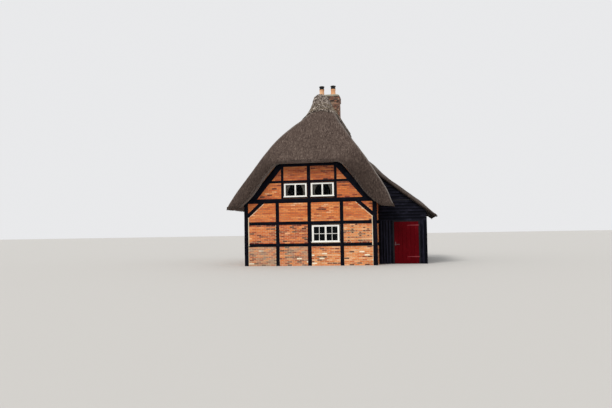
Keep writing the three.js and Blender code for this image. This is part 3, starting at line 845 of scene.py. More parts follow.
def buildGableFrame():
    parts = [hewnTimber(*line) for line in gableTimbers]
    pegPlaces = [*postPegs(0.0), (0.0, 3.0), (0.03, 4.66)]
    for side in (-1, 1):
        parts += [sideTimber(side, *line) for line in pairedTimbers]
        for x in (side * 1.5, side * 3.0):
            pegPlaces += [*postPegs(x), (x, 3.02)]
        pegPlaces += [(side * x, z) for x, z in ((2.32, 2.87), (2.86, 2.39), (1.245, 3.9), (2.5, 3.3))]
    front = joinFrame(parts, pegPlaces, "frontTimbers", frontWall)
    addRearTwin(front, blackTimber, ("rear_gable_frame",))
    dress(front, blackTimber, replaced=("front_gable_frame",))


def buildFillets():
    front = joinPieces([sideTimber(side, *line) for line in filletLines for side in (-1, 1)], "frontFillets")
    front.data.transform(frontWall)
    smoothShading(front)
    dress(front, filletMortar)
    addRearTwin(front, filletMortar)


def buildSideFrame(wall, name, doorway, replaced):
    end, low, middle, high = 4.299, 0.96, 1.97, 3.032
    bays = (-3.0, -1.5, 0.0, 1.5, 3.0)
    lines = [((bay, 0), (bay, 3.02), 0.155, 0.011) for bay in bays]
    lines += [((-end, high), (end, high), 0.15, 0.013), ((-end, middle), (end, middle), 0.15, 0.008)]
    if doorway:
        lines += [((-end, low), (-1.0, low), 0.15, 0.008), ((-0.08, low), (end, low), 0.15, 0.008),
                  ((-1.003, 0), (-1.003, 1.95), 0.155, 0.010)]
    else:
        lines.append(((-end, low), (end, low), 0.15, 0.008))
    pegPlaces = [(bay + 0.03 * s, z + 0.03 * s) for bay in bays for z in (low, middle) for s in (-1, 1)]
    whole = joinFrame([hewnTimber(*line) for line in lines], pegPlaces, name, wall)
    dress(whole, blackTimber, replaced=(replaced,))


pegModel = makePeg()
buildGableFrame()
buildFillets()
buildSideFrame(leftWall, "leftTimbers", False, "left_side_frame")
buildSideFrame(rightWall, "rightTimbers", True, "right_side_frame")
print("stage: timber frames")


# Thatch

roofShape = {
    # x and z of the rims of the two slopes, and of the gables' verge, from the eaves up
    "rightRim": [(3.87, 2.67), (3.82, 2.79), (3.74, 2.98), (3.62, 3.31), (3.49, 3.57), (3.34, 3.84),
                 (3.12, 4.18), (2.89, 4.56), (2.62, 5.0), (2.36, 5.36), (2.08, 5.74), (1.79, 6.18),
                 (1.51, 6.6), (1.25, 7.02), (1.02, 7.40)],
    "leftRim": [(-3.87, 2.67), (-3.835, 2.79), (-3.76, 2.98), (-3.64, 3.22), (-3.48, 3.48), (-3.3, 3.72),
                (-3.08, 3.98), (-2.8, 4.33), (-2.55, 4.65), (-2.3, 4.98), (-2.05, 5.31), (-1.65, 5.84),
                (-1.25, 6.28), (-0.82, 6.66), (-0.42, 6.97)],
    "verge": [(3.27, 2.74), (3.12, 2.84), (2.96, 2.97), (2.79, 3.12), (2.6, 3.33), (2.43, 3.55),
              (2.12, 3.99), (1.87, 4.32), (1.68, 4.54), (1.52, 4.67), (1.33, 4.74), (1.0, 4.74),
              (0.75, 4.74), (0.5, 4.74), (0.3, 4.74)],
    "ridge": (0.45, 7.66),
    "hipEdge": 4.74,
    "hipSlope": 1.718,
    "frontEnd": -4.9,
    "setback": 0.45,
    "bulge": (0.22, 0.06),
    "rough": (0.022, 0.010),
    "rowsPerLine": 6,
    "rollColumns": 32,
    "slopeColumns": 96,
    "roundedColumns": 3,
}
roofVoid = {
    "low": (-3.1, -4.506, -1.0),
    "high": (3.1, 4.506, 3.125),
    # height, left and right x, and end y
    "steps": ((4.74, -1.708, 2.051, 4.506), (7.2, 0.44, 0.46, 3.074)),
    "middle": 0.45,
}
overOutshut = ((3.1, -3.6, -1), (6, 3.6, 9))


def smoothCurve(points, place):
    index = min(int(place), len(points) - 2)
    share = place - index
    around = [points[clamp(index + k, 0, len(points) - 1)] for k in (-1, 0, 1, 2)]
    return Vector([0.5 * (2 * b + (c - a) * share + (2 * a - 5 * b + 4 * c - d) * share ** 2
                          + (3 * b - a - 3 * c + d) * share ** 3) for a, b, c, d in zip(*around)])


def roofLines():
    # over the roof from the left eaves to the right: rim x, y and z, verge x and z
    s = roofShape

    def line(rim, edge):
        eave = clamp((rim[1] - 2.5) / 0.9, 0.35)
        back = math.hypot(max(0, rim[1] - s["hipEdge"]) / s["hipSlope"], s["setback"] * eave)
        return (rim[0], s["frontEnd"] + back, rim[1], edge[0], edge[1])

    left = [line(rim, (-edge[0], edge[1])) for rim, edge in zip(s["leftRim"], s["verge"])]
    right = [line(rim, edge) for rim, edge in zip(s["rightRim"], s["verge"])]
    return left + [line(s["ridge"], (0, s["hipEdge"]))] + right[::-1]


def rollPoint(values, share):
    x, y, z, edgeX, edgeZ = values
    low = Vector((edgeX, roofShape["frontEnd"], edgeZ))
    high = Vector((x, y, z))
    middle = (low + high) / 2
    verge, hip = roofShape["bulge"]
    middle.y -= verge + (hip - verge) * clamp((z - roofShape["hipEdge"]) / 1.5)
    return low * (1 - share) ** 2 + middle * 2 * share * (1 - share) + high * share ** 2


def roofPoint(values, column):
    roll, slope = roofShape["rollColumns"], roofShape["slopeColumns"]
    if column <= roll:
        return rollPoint(values, column / roll)
    if column >= roll + slope:
        return flipped(rollPoint(values, (2 * roll + slope - column) / roll))
    high = rollPoint(values, 1)
    return Vector((high.x, high.y * (1 - 2 * (column - roll) / slope), high.z))


def weatherSurface(piece, coarse, medium, lumps=0.0):
    normals = [vertex.normal.copy() for vertex in piece.data.vertices]
    for vertex, normal in zip(piece.data.vertices, normals):
        place = vertex.co
        lift = noise.noise(place * 0.75) * coarse + noise.noise(place * 2.6 + Vector((5, 1, 7))) * medium
        if lumps:
            lift += noise.noise(place * 9.0) * lumps + noise.noise(place * 21.0) * lumps * 0.35
        vertex.co += normal * lift


def addVoid():
    v = roofVoid
    void = addBox(v["low"], v["high"])
    for height, left, right, end in v["steps"]:
        pickFaces(void, lambda normal: normal.z > 0.9)
        extrudeUp(0.5)
        movePicked(void, lambda p: (right if p.x > v["middle"] else left, math.copysign(end, p.y), height))
        doneEditing()
    return void


def buildRoof():
    s = roofShape
    lines = roofLines()
    roll = s["rollColumns"]
    columns = 2 * roll + s["slopeColumns"]
    zones = []

    def spot(column, row):
        values = smoothCurve(lines, row / s["rowsPerLine"])
        inward = min(column, columns - column)
        outer = max(0, 1 - min(1, inward / roll))
        # cut ends show along the sloping verges, less so over the hips
        sideVerge = 1 - clamp((values[2] - 4.6) / 1.2)
        cut = sideVerge * outer ** 0.5
        # painted highlight: a pale band along each rim where the slope turns away, and along the lower verge
        # edge (lip) where the cut straw catches the light; blue darkens the verge rolls
        rim = bell(inward - roll, 1.15) * (0.45 + 0.5 * sideVerge)
        lip = 0.5 * bell(inward, 0.8) * sideVerge
        zones.append((min(1, cut * 0.8), min(1, rim + lip), 0.5 * sideVerge * outer ** 0.3, 1))
        return roofPoint(values, column)

    def columnOf(vertex):
        return vertex.index % (columns + 1)

    roof = addSheet(columns, (len(lines) - 1) * s["rowsPerLine"], spot)
    setZones(roof, zones)
    roof.data.update()
    # rounded hip corners
    pick(roof, "VERT", lambda v: abs(min(columnOf(v), columns - columnOf(v)) - roll) <= s["roundedColumns"])
    bpy.ops.mesh.vertices_smooth(factor=0.5, repeat=5)
    doneEditing()
    weatherSurface(roof, *s["rough"])
    # close the underside, then hollow it
    pick(roof, "EDGE", lambda edge: {columnOf(vertex) for vertex in edge.verts} in ({0}, {columns}))
    bpy.ops.mesh.bridge_edge_loops()
    bpy.ops.mesh.select_all(action="SELECT")
    bpy.ops.mesh.fill_holes(sides=0)
    turnOutwards()
    doneEditing()
    for cutter in [addVoid(), addBox(*overOutshut)]:
        makeActive(roof)
        modifier = roof.modifiers.new("cut", "BOOLEAN")
        modifier.operation, modifier.object, modifier.solver = "DIFFERENCE", cutter, "EXACT"
        bpy.ops.object.modifier_apply(modifier=modifier.name)
        bpy.data.objects.remove(cutter)
    roof.name = "mainThatch"
    smoothShading(roof, 38)
    dress(roof, roofStraw, replaced=(
        "thatch_front_hood", "thatch_rear_hood", "thatch_left_slope", "thatch_right_slope"))
    return roof


mainThatch = buildRoof()
print("stage: main thatch", len(mainThatch.data.polygons), "faces")


# Straw tufts along the thatch's cut edges

fringeWork = {
    "spacing": 0.034,
    "length": 0.12,
    "thickness": 0.010,
    "reach": 0.012,
    "stray": 0.32,
    "blades": 5,
    "variants": 5,
}


def makeTufts():
    w = fringeWork
    made = []
    dice = random.Random(21)
    for number in range(w["variants"]):
        blades = []
        for _ in range(w["blades"]):
            clearSelection()
            bpy.ops.mesh.primitive_cone_add(vertices=4, radius1=w["thickness"], radius2=0.003,
                                            depth=w["length"], end_fill_type="NGON")
            cone = bpy.context.object
            lean = (Matrix.Rotation(dice.uniform(-0.16, 0.16), 4, "X")
                    @ Matrix.Rotation(dice.uniform(-0.12, 0.12), 4, "Y"))
            cone.data.transform(moved(*(dice.uniform(-far, far) for far in (0.03, 0.014, 0.012))) @ lean)
            blades.append(cone)
        tuft = joinPieces(blades, "tuft" + str(number))
        setZones(tuft, [(0, dice.uniform(0.0, 0.15), 0.3, 1)] * len(tuft.data.vertices))
        made.append(tuft)
    return made


def fringe(places, name, dice):
    # plants a tuft at each place, which is a point, the way out and the way along
    w = fringeWork
    planted = []
    for point, outward, along in places:
        stray = Vector([dice.uniform(-1, 1) for _ in range(3)]) * w["stray"] * 0.3
        out = (outward.normalized() + stray).normalized()
        third = out.cross(along.normalized()).normalized()
        turn = Matrix((third.cross(out), third, out)).transposed().to_4x4()
        start = point + out * (w["reach"] * dice.uniform(-1, 1) - w["length"] * 0.36)
        planted.append(copyOf(dice.choice(tuftModels), Matrix.Translation(start) @ turn
                              @ Matrix.Diagonal((1, 1, dice.uniform(0.8, 1.2), 1))))
    return joinPieces(planted, name)


def walk(points, outwards, spacing=fringeWork["spacing"]):
    # evenly spaced places along a line of points
    places = []
    left = 0.0
    for (a, b), (outA, outB) in zip(zip(points, points[1:]), zip(outwards, outwards[1:])):
        length = (b - a).length
        while left < length:
            share = left / length
            places.append((a.lerp(b, share), outA.lerp(outB, share), b - a))
            left += spacing
        left -= length
    return places


def buildRoofFringe():
    lines = roofLines()
    last = len(lines) - 1
    values = [smoothCurve(lines, n / 4) for n in range(last * 4 + 1)]
    verge = walk([rollPoint(v, 0.012) for v in values],
                 [rollPoint(v, 0.0) - rollPoint(v, 0.10) for v in values])
    places = list(verge)
    # straw all along the left eaves, but on the right only past the outshut's ends
    for line, above, ends in ((0, 0.35, ((-1, 1),)), (last, last - 0.35, ((-1, -0.811), (0.811, 1)))):
        eave = smoothCurve(lines, line)
        rim, up = rollPoint(eave, 1), rollPoint(smoothCurve(lines, above), 1)
        out = Vector((rim.x - up.x, 0, rim.z - up.z))
        for span in ends:
            places += walk([Vector((rim.x, share * abs(rim.y), rim.z)) for share in span], [out] * 2)
        corner = walk([rollPoint(eave, n / 8) for n in range(9)], [out] * 9)
        places += corner + [(flipped(p), o, a) for p, o, a in corner]
    places += [tuple(map(flipped, place)) for place in verge]
    dress(fringe(places, "eaveStraws", random.Random(8)), roofStraw)


tuftModels = makeTufts()
buildRoofFringe()
print("stage: straw edges")


# Outshut thatch

catslide = {
    "top": [(2.6, 4.93), (2.96, 4.64), (3.39, 4.2), (3.8, 3.86), (4.3, 3.49), (4.99, 2.955), (5.45, 2.545),
            (5.80, 2.225)],
    "bottom": [(5.70, 2.235), (5.45, 2.405), (4.29, 3.27), (3.14, 4.185), (2.55, 4.66)],
    "halfLength": 3.6,
    "thick": 0.3,
    "droop": 0.05,
    "rough": (0.016, 0.012),
    "columns": 90,
    "rows": 48,
}


def lineAt(points, x):
    # height at x of a line through points
    for (x0, z0), (x1, z1) in zip(points, points[1:]):
        if min(x0, x1) <= x <= max(x0, x1):
            return z0 + (z1 - z0) * (x - x0) / (x1 - x0)
    return points[0][1] if abs(x - points[0][0]) < abs(x - points[-1][0]) else points[-1][1]


def catslideZone(place):
    edge = min(catslide["halfLength"] - abs(place.y), catslide["bottom"][0][0] - place.x)
    under = lineAt(catslide["top"], place.x) - place.z
    # green is a painted highlight along the top of the verge edges; blue darkens the verges and the lower
    # slope; red marks cut ends
    lip = bell(edge, 0.1) * bell(max(0, under - 0.03), 0.03)
    past = clamp((place.x - 3.3) / 2.4)
    return 0.5 * bell(edge, 0.1), 0.4 * lip, 0.7 * max(past, bell(edge, 0.3)) * (1 - lip), 1


def catslideStrawZone(place):
    # straws along the top edge get a painted highlight, those along the lower edge painted shade
    onTop = place.z > lineAt(catslide["top"], place.x) - 0.09 and place.x < 5.4
    return (0.3, 0.35, 0.2, 1) if onTop else (0.3, 0.1, 0.6, 1)


def buildCatslide():
    c = catslide
    end = c["halfLength"]

    def spot(column, row):
        x, z = smoothCurve(c["top"], (len(c["top"]) - 1) * row / c["rows"])
        y = end * (2 * column / c["columns"] - 1)
        return x, y, z - c["droop"] * bell(end - abs(y), 0.10)

    def underside(place):
        x = min(place.x, c["bottom"][0][0])
        return x, place.y, lineAt(c["bottom"], x)

    cover = addSheet(c["columns"], c["rows"], spot)
    startEditing(cover)
    turnOutwards()
    extrudeUp(-c["thick"])
    movePicked(cover, underside)
    turnOutwards()
    doneEditing()
    weatherSurface(cover, *c["rough"])
    setZones(cover, [catslideZone(vertex.co) for vertex in cover.data.vertices])
    cover.name = "outshutThatch"
    smoothShading(cover, 40)
    dress(cover, roofStraw, replaced=("outshut_thatch",))
    places = []
    for sign in (-1, 1):
        for line, drop, out in ((c["top"][2:], 0.06, (0.5, sign, -0.1)),
                                (c["bottom"][:4], -0.02, (0.4, sign, 0.1))):
            edge = [Vector((x, sign * end, z - drop)) for x, z in line]
            places += walk(edge, [Vector(out)] * len(edge), fringeWork["spacing"] * 1.1)
    for x, z, out in ((5.78, 2.225, (0.78, 0, -0.62)), (5.7, 2.235, (0.7, 0, -0.7))):
        places += walk([Vector((x, -end, z)), Vector((x, end, z))], [Vector(out)] * 2)
    straws = fringe(places, "outshutStraws", random.Random(12))
    setZones(straws, [catslideStrawZone(vertex.co) for vertex in straws.data.vertices])
    dress(straws, roofStraw)


buildCatslide()
print("stage: outshut thatch")


# Block ridge with its hazel rods

crest = {
    # left x, z; right x, z; end y, z, from the skirt up to the top
    "levels": [(-0.60, 6.79, 1.26, 6.94, 3.31, 7.34), (-0.54, 6.92, 1.235, 7.08, 3.33, 7.43),
               (-0.37, 7.13, 1.14, 7.26, 3.26, 7.57), (-0.24, 7.36, 1.05, 7.45, 3.17, 7.73),
               (-0.14, 7.60, 0.94, 7.65, 3.08, 7.90), (-0.08, 7.84, 0.845, 7.87, 2.99, 8.03),
               (-0.04, 8.02, 0.765, 8.04, 2.91, 8.14), (0.02, 8.17, 0.675, 8.18, 2.81, 8.24),
               (0.11, 8.27, 0.565, 8.28, 2.70, 8.31), (0.22, 8.33, 0.45, 8.34, 2.58, 8.35),
               (0.33, 8.35, 0.33, 8.35, 2.45, 8.35)],
    "heart": (0.4, 2.6, 6.4),
    # how far each row stands off the roof below it, at least
    "lip": (-0.03, 0.02, 0.055),
    "noseLength": 0.50,
    "noseSkew": 0.02,
    "squareness": 3.6,
    "edgeSteady": 0.35,
    "around": 480,
    "up": 46,
    "rough": (0.016, 0.014, 0.020),
}
rodWork = {
    "radius": 0.012,
    "crossRadius": 0.8,
    "lift": 0.014,
    "crossLift": 0.026,
    "levels": (1.5, 2.6, 3.7),
    # leg of the ridge's outline, where the rods start and end on it, and how many crosses
    "runs": ((0, 0.0, 1.0, 7), (1, 0.0, 0.08, 1), (1, 0.30, 1.0, 9), (2, 0.0, 1.0, 7), (3, 0.0, 1.0, 12)),
}


def surfaceOf(piece):
    shape = bmesh.new()
    shape.from_mesh(piece.data)
    surface = BVHTree.FromBMesh(shape)
    shape.free()
    return surface


def surfaceBelow(surface, place):
    # looks from outside towards the line that runs through the crest's middle
    x, halfLength, z = crest["heart"]
    heart = Vector((x, clamp(place.y, -halfLength, halfLength), z))
    out = (place - heart).normalized()
    hit, normal = surface.ray_cast(heart + out * 3, -out)[:2]
    return hit, out, abs(normal.dot(out))


def crestSpot(turn, level):
    # turn runs 0 to 1 round the front, to 2 along the right, to 3 round the rear, to 4 along the left
    xl, zl, xr, zr, end, ze = smoothCurve(crest["levels"], level)
    middle, half = (xl + xr) / 2, (xr - xl) / 2
    nose = min(crest["noseLength"], half * 1.2)
    power = 2 / crest["squareness"]
    leg, share = int(turn) % 4, turn - int(turn)
    if leg in (1, 3):
        y = (end - nose) * (2 * share - 1)
        return Vector((xr, y, zr)) if leg == 1 else Vector((xl, -y, zl))
    swing = math.pi * share
    across = math.copysign(abs(math.cos(swing)) ** power, -math.cos(swing))
    out = math.sin(swing) ** power
    side = -1 if leg == 0 else 1
    x = middle - side * half * across + crest["noseSkew"] * out * min(1, half)
    base = zl + (zr - zl) * (0.5 - 0.5 * side * across)
    rise = 1 - abs(across) ** 1.3
    return Vector((x, side * (end - nose + nose * out), base + (ze - base) * rise))


def buildCrest():
    around, up, lip = crest["around"], crest["up"], crest["lip"]
    lastLip = len(lip) - 1
    roofSurface = surfaceOf(mainThatch)
    zones = []

    def spot(step, row):
        level = (len(crest["levels"]) - 1) * max(row, lastLip) / up
        place = crestSpot(4 * (step % around) / around, level)
        hit, out, straight = surfaceBelow(roofSurface, place)
        least = lip[min(row, lastLip)] / straight
        zones.append((0.2 + 0.6 * bell(row, 5), 0, 0, 1))
        return hit + out * (least if row < lastLip else max(least, (place - hit).dot(out)))

    ridge = addSheet(around, up, spot)
    setZones(ridge, zones)
    ridge.data.update()
    startEditing(ridge)
    bpy.ops.mesh.remove_doubles(threshold=0.0008)
    bpy.ops.mesh.fill_holes(sides=0)
    turnOutwards()
    doneEditing()
    tidy = [vertex.co.copy() for vertex in ridge.data.vertices]
    weatherSurface(ridge, *crest["rough"])
    # the trimmed lower edge is kept steadier than the top
    for vertex, place, zone in zip(ridge.data.vertices, tidy, ridge.data.attributes["zones"].data):
        share = 1 - (1 - crest["edgeSteady"]) * (zone.color[0] - 0.2) / 0.6
        vertex.co = place.lerp(vertex.co, share)
    ridge.name = "ridgeThatch"
    smoothShading(ridge, 50)
    dress(ridge, ridgeStraw, replaced=("thatch_ridge",))
    return surfaceOf(ridge)


def makeRod():
    rod = addCylinder(6, 1, 1)
    cutAcross(rod, 2, 2)
    pickFaces(rod, lambda normal: normal.z > 0.9)
    bpy.ops.transform.resize(value=(0.7, 0.7, 1))
    doneEditing()
    return rod


def buildCrestRods():
    w = rodWork
    dice = random.Random(3)
    rods = []

    def lay(turnA, levelA, turnB, levelB, radius, lift):
        ends = []
        for turn, level in ((turnA, levelA), (turnB, levelB)):
            hit, out = surfaceBelow(crestSurface, crestSpot(turn, level))[:2]
            ends.append(hit + out * lift)
        run = ends[1] - ends[0]
        turned = Matrix.Translation((ends[0] + ends[1]) / 2) @ run.to_track_quat("Z", "Y").to_matrix().to_4x4()
        size = Matrix.Diagonal((radius, radius * dice.uniform(0.7, 1.0), run.length * 1.06, 1))
        rods.append(copyOf(rodModel, turned @ size))
        setGrain(rods[-1], "Y", dice.uniform(0, 30))

    low, middle, high = w["levels"]
    cross = (w["radius"] * w["crossRadius"], w["crossLift"])
    for leg, first, last, count in w["runs"]:
        for n in range(count):
            a, b = (leg + first + (last - first) * (n + k) / count for k in (0, 1))
            b = min(b, leg + 0.9999)
            half = (a + b) / 2
            for level in (low, high):
                lay(a, level, half, level, w["radius"], w["lift"])
                lay(half, level, b, level, w["radius"], w["lift"])
            for levelA, levelB in ((low, high), (high, low)):
                lay(a, levelA, half, middle, *cross)
                lay(half, middle, b, levelB, *cross)
    whole = joinPieces(rods, "ridgeRods")
    smoothShading(whole, 60)
    dress(whole, hazelRod)


rodModel = makeRod()
crestSurface = buildCrest()
buildCrestRods()
print("stage: ridge")


# Chimney

chimney = {
    "x": (0.03, 1.19), "y": (-2.15, -1.45), "from": 6.6,
    "corbel": (8.06, 8.33), "reach": 0.03,
    "potX": (0.3, 0.88), "potFoot": 8.4505, "cowlFoot": 8.7508,
    # radius and height above the foot
    "pot": [(0.128, 0), (0.131, 0.03), (0.124, 0.045), (0.117, 0.12), (0.112, 0.21), (0.114, 0.235),
            (0.124, 0.245), (0.127, 0.262), (0.124, 0.28), (0.118, 0.298), (0.092, 0.299), (0.088, 0.22),
            (0.086, 0.06)],
    "cowl": [(0.116, 0), (0.121, 0.008), (0.121, 0.028), (0.112, 0.034), (0.110, 0.092), (0.118, 0.098),
             (0.118, 0.112), (0.126, 0.116), (0.134, 0.128), (0.134, 0.158), (0.126, 0.168), (0.09, 0.180),
             (0.045, 0.187), (0.012, 0.19)],
    "sides": 32,
}
corbelMood = {"tone": 0.38, "range": 0.28, "dark": 0.2, "pale": 0.06, "faded": 0.3, "headers": 0.35,
              "joint": 0.012, "batches": 0.14}
shaftMood = {**corbelMood, "tone": 0.56, "dark": 0.08, "pale": 0.12, "faded": 0.7, "headers": 0.25}
mortarCap = {"skirt": 0.018, "top": 8.445, "corner": 0.07, "edgeFall": 0.06, "edgeWidth": 0.07,
             "swell": 0.03, "swellWidth": 0.035, "rough": 0.006, "cuts": 18}


def buildStackBricks():
    c = chimney
    dice = random.Random(17)
    rows = [(c["from"], c["corbel"][0], 0.0, shaftMood), (*c["corbel"], c["reach"], corbelMood)]
    halves = [(high - low) / 2 for low, high in (c["x"], c["y"])]
    parts = []
    for bottom, top, reach, mood in rows:
        for side in range(4):
            half = halves[side % 2] + reach + 0.004
            away = halves[1 - side % 2] + reach
            wall = wallAt(sum(c["x"]) / 2, sum(c["y"]) / 2, side) @ moved(0, -away, 0)
            parts.append(layBricks([(-half, half, bottom, top, mood)], wall, "side", dice, margin=0.0))
    dress(joinPieces(parts, "stackBricks"), stackBrick)
    core = joinPieces([
        addBlock((c["x"][0] - reach, c["y"][0] - reach, bottom), (c["x"][1] + reach, c["y"][1] + reach, top))
        for bottom, top, reach, mood in rows], "stackJoints")
    dress(core, stackMortar, replaced=("chimney_stack",))


def turnedPiece(profile, x, foot, name):
    radius, height = profile[0]
    clearSelection()
    bpy.ops.mesh.primitive_circle_add(vertices=chimney["sides"], radius=radius, fill_type="NGON",
                                      location=(x, sum(chimney["y"]) / 2, foot + height))
    piece = settle()
    pickFaces(piece, lambda normal: True)
    for nextRadius, nextHeight in profile[1:]:
        extrudeUp(nextHeight - height)
        bpy.ops.transform.resize(value=(nextRadius / radius, nextRadius / radius, 1))
        radius, height = nextRadius, nextHeight
    turnOutwards()
    doneEditing()
    piece.name = name
    smoothShading(piece, 40)
    return piece


def buildPots():
    c = chimney
    for side, x in zip(("left", "right"), c["potX"]):
        node = side + "_chimney_"
        dress(turnedPiece(c["pot"], x, c["potFoot"], side + "Pot"), clayPot, replaced=(node + "pot",))
        dress(turnedPiece(c["cowl"], x, c["cowlFoot"], side + "Cowl"), blackIron,
              replaced=(node + "cowl",))


def buildFlaunching():
    c = mortarCap
    foot = chimney["corbel"][1]
    sides = (chimney["x"], chimney["y"])
    low, high = ([side[k] + way * c["skirt"] for side in sides] for k, way in ((0, -1), (1, 1)))
    slab = addBox((*low, foot), (*high, c["top"]))
    startEditing(slab)
    bpy.ops.mesh.subdivide(number_cuts=c["cuts"])
    doneEditing()
    middle = [(a + b) / 2 for a, b in zip(low, high)]
    for vertex in slab.data.vertices:
        place = vertex.co
        inset = min(min(place[k] - low[k], high[k] - place[k]) for k in (0, 1))
        swell = max(math.exp(-((place.x - x) ** 2 + (place.y - middle[1]) ** 2) / c["swellWidth"])
                    for x in chimney["potX"])
        lift = (-c["edgeFall"] * bell(inset, c["edgeWidth"]) + c["swell"] * swell
                + c["rough"] * noise.noise(place * 14))
        over = [max(0, abs(place[k] - middle[k]) - (high[k] - low[k]) / 2 + c["corner"]) for k in (0, 1)]
        reach = math.hypot(*over)
        if reach > c["corner"]:
            for k in (0, 1):
                place[k] -= math.copysign(over[k] * (1 - c["corner"] / reach), place[k] - middle[k])
        place.z += lift * (place.z - foot) / (c["top"] - foot)
    slab.name = "mortarCap"
    smoothShading(slab, 60)
    dress(slab, capCement, replaced=("chimney_flaunching",))


buildStackBricks()
buildPots()
buildFlaunching()
print("stage: chimney")


# Windows

joinery = {
    "proud": 0.015,
    "back": 0.030,
    "step": 0.007,
    "bar": 0.021,
    "gap": 0.002,
    "arris": 0.003,
    # half width and half height
    "hinge": (0.006, 0.03),
    "catch": (0.006, 0.014),
    "handle": (0.008, 0.07),
    "sillReach": 0.058,
    "sillHeight": 0.042,
    "sillEar": 0.022,
    "sillFall": 0.014,
    "liningDepth": (-0.004, 0.034),
    "liningLap": (0.01, 0.008),
}
lowerHole = {"left": 0.085, "right": 1.415, "bottom": 1.06, "top": 1.885, "lining": (0.03, 0.03, 0.012),
             "border": 0.085, "mullion": 0.072, "panes": 2}
upperRight = {"left": 0.085, "right": 1.178, "bottom": 3.118, "top": 3.838, "lining": (0.014, 0.034, 0.060),
              "border": 0.070, "mullion": 0.060, "panes": 1}
upperLeft = {**upperRight, "left": -1.178, "right": -0.085}


def addLining(name, hole, wall):
    side, head, foot = hole["lining"]
    front, back = joinery["liningDepth"]
    lap, thin = joinery["liningLap"]
    low, high, bottom, top = (hole[k] for k in ("left", "right", "bottom", "top"))
    strips = [(low, low + side + lap, bottom, top), (high - side - lap, high, bottom, top),
              (low, high, top - head - thin, top), (low, high, bottom, bottom + foot + thin)]
    lining = joinPieces([addBlock((a, front, c), (b, back, d), 0.003) for a, b, c, d in strips],
                        name + "Lining")
    setGrain(lining, "X", 5.0)
    lining.data.transform(wall)
    dress(lining, blackTimber)
    return lining


def addSill(low, high, bottom):
    j = joinery
    front = -j["proud"] - j["sillReach"]
    sill = addBox((low - j["sillEar"], front, bottom - 0.004),
                  (high + j["sillEar"], j["back"], bottom + j["sillHeight"]))
    pickEdges(sill, lambda p, q: max(p.y, q.y) < front + 0.001 and min(p.z, q.z) > bottom + 0.03)
    bpy.ops.transform.translate(value=(0, 0, -j["sillFall"]))
    bpy.ops.mesh.select_all(action="SELECT")
    bevelPicked(0.004, 2)
    return sill


def buildWindow(name, hole, wall, replaced):
    j = joinery
    side, head, foot = hole["lining"]
    low, high = hole["left"] + side, hole["right"] - side
    bottom, top = hole["bottom"] + foot, hole["top"] - head
    outer, rail = hole["border"] * 0.48, hole["border"] * 0.4
    front, back = -j["proud"], j["back"]
    leaf, bars = front + j["step"], front + 2 * j["step"]
    inBottom, inTop = bottom + rail, top - rail
    middle = (low + high) / 2
    thin = j["bar"] / 2
    parts = []

    def block(left, right, lower, upper, near, far=back, edge=j["arris"]):
        parts.append(addBlock((left, near, lower), (right, far, upper), edge))

    # fixed frame
    block(low, low + outer, bottom, top, front)
    block(high - outer, high, bottom, top, front)
    block(low + outer, high - outer, bottom, inBottom, front)
    block(low + outer, high - outer, inTop, top, front)
    # two leaves, hung on the frame's sides
    widths = (hole["border"] - outer, hole["mullion"] / 2)
    for start, end, hung, (left, right) in (
            (low + outer, middle - j["gap"], low + outer, widths),
            (middle + j["gap"], high - outer, high - outer, widths[::-1])):
        block(start, start + left, inBottom, inTop, leaf)
        block(end - right, end, inBottom, inTop, leaf)
        block(start + left, end - right, inBottom, bottom + 2 * rail + 0.006, leaf)
        block(start + left, end - right, top - 2 * rail, inTop, leaf)
        for n in range(1, hole["panes"]):
            x = start + left + (end - right - start - left) * n / hole["panes"]
            block(x - thin, x + thin, inBottom, inTop, bars, back - 0.004)
        for n in range(1, hole["panes"]):
            z = bottom + 2 * rail + (top - bottom - 4 * rail) * n / hole["panes"]
            block(start, end, z - thin, z + thin, bars, back - 0.004)
        if end < middle:
            x, z = end - right / 2, (bottom + top) / 2
            (wide, tall), (gripWide, gripLong) = j["catch"], j["handle"]
            block(x - wide, x + wide, z - tall, z + tall, front - 0.016, leaf)
            block(x - gripWide, x + gripWide, z - gripLong, z + tall, front - 0.022, front - 0.013, 0.004)
        wide, tall = j["hinge"]
        for z in (bottom + 2.4 * rail, top - 2.4 * rail):
            block(hung - wide, hung + wide, z - tall, z + tall, front - 0.004, front + 0.01)
    parts.append(addSill(low, high, bottom))
    window = joinPieces(parts, name)
    smoothShading(window, 40)
    window.data.transform(wall)
    dress(window, whitePaint, replaced=(replaced,))
    return window


curtain = {
    "cutWidth": 0.46,
    "folds": 6,
    "back": 0.064,
    "width": 0.30,
    "tied": 0.42,
    "tieHeight": 0.38,
    "inset": 0.05,
    "bottom": 3.15,
    "top": 3.826,
    "columns": 84,
    "rows": 24,
    "rodHeight": 3.818,
    "rodRadius": 0.007,
    "rodInset": 0.02,
    "knob": 0.013,
}


def addCurtain(name, hung, way, wall):
    c = curtain

    def spot(column, row):
        across, up = column / c["columns"], row / c["rows"]
        away = abs(up - c["tieHeight"]) / (1 - c["tieHeight"])
        width = c["width"] * (c["tied"] + (1 - c["tied"]) * away ** 1.3 * (1 if up > c["tieHeight"] else 0.6))
        # deeper folds where the cloth is drawn together, so that its cut width stays
        depth = math.sqrt(c["cutWidth"] ** 2 - width ** 2) / (4 * c["folds"])
        y = c["back"] + depth * math.sin(across * math.pi * 2 * c["folds"] + 0.4 * math.sin(up * 4))
        return hung + way * width * across, y, c["bottom"] + (c["top"] - c["bottom"]) * up

    cloth = addSheet(c["columns"], c["rows"], spot)
    cloth.data.transform(wall)
    cloth.name = name
    smoothShading(cloth, 60)
    dress(cloth, linen)


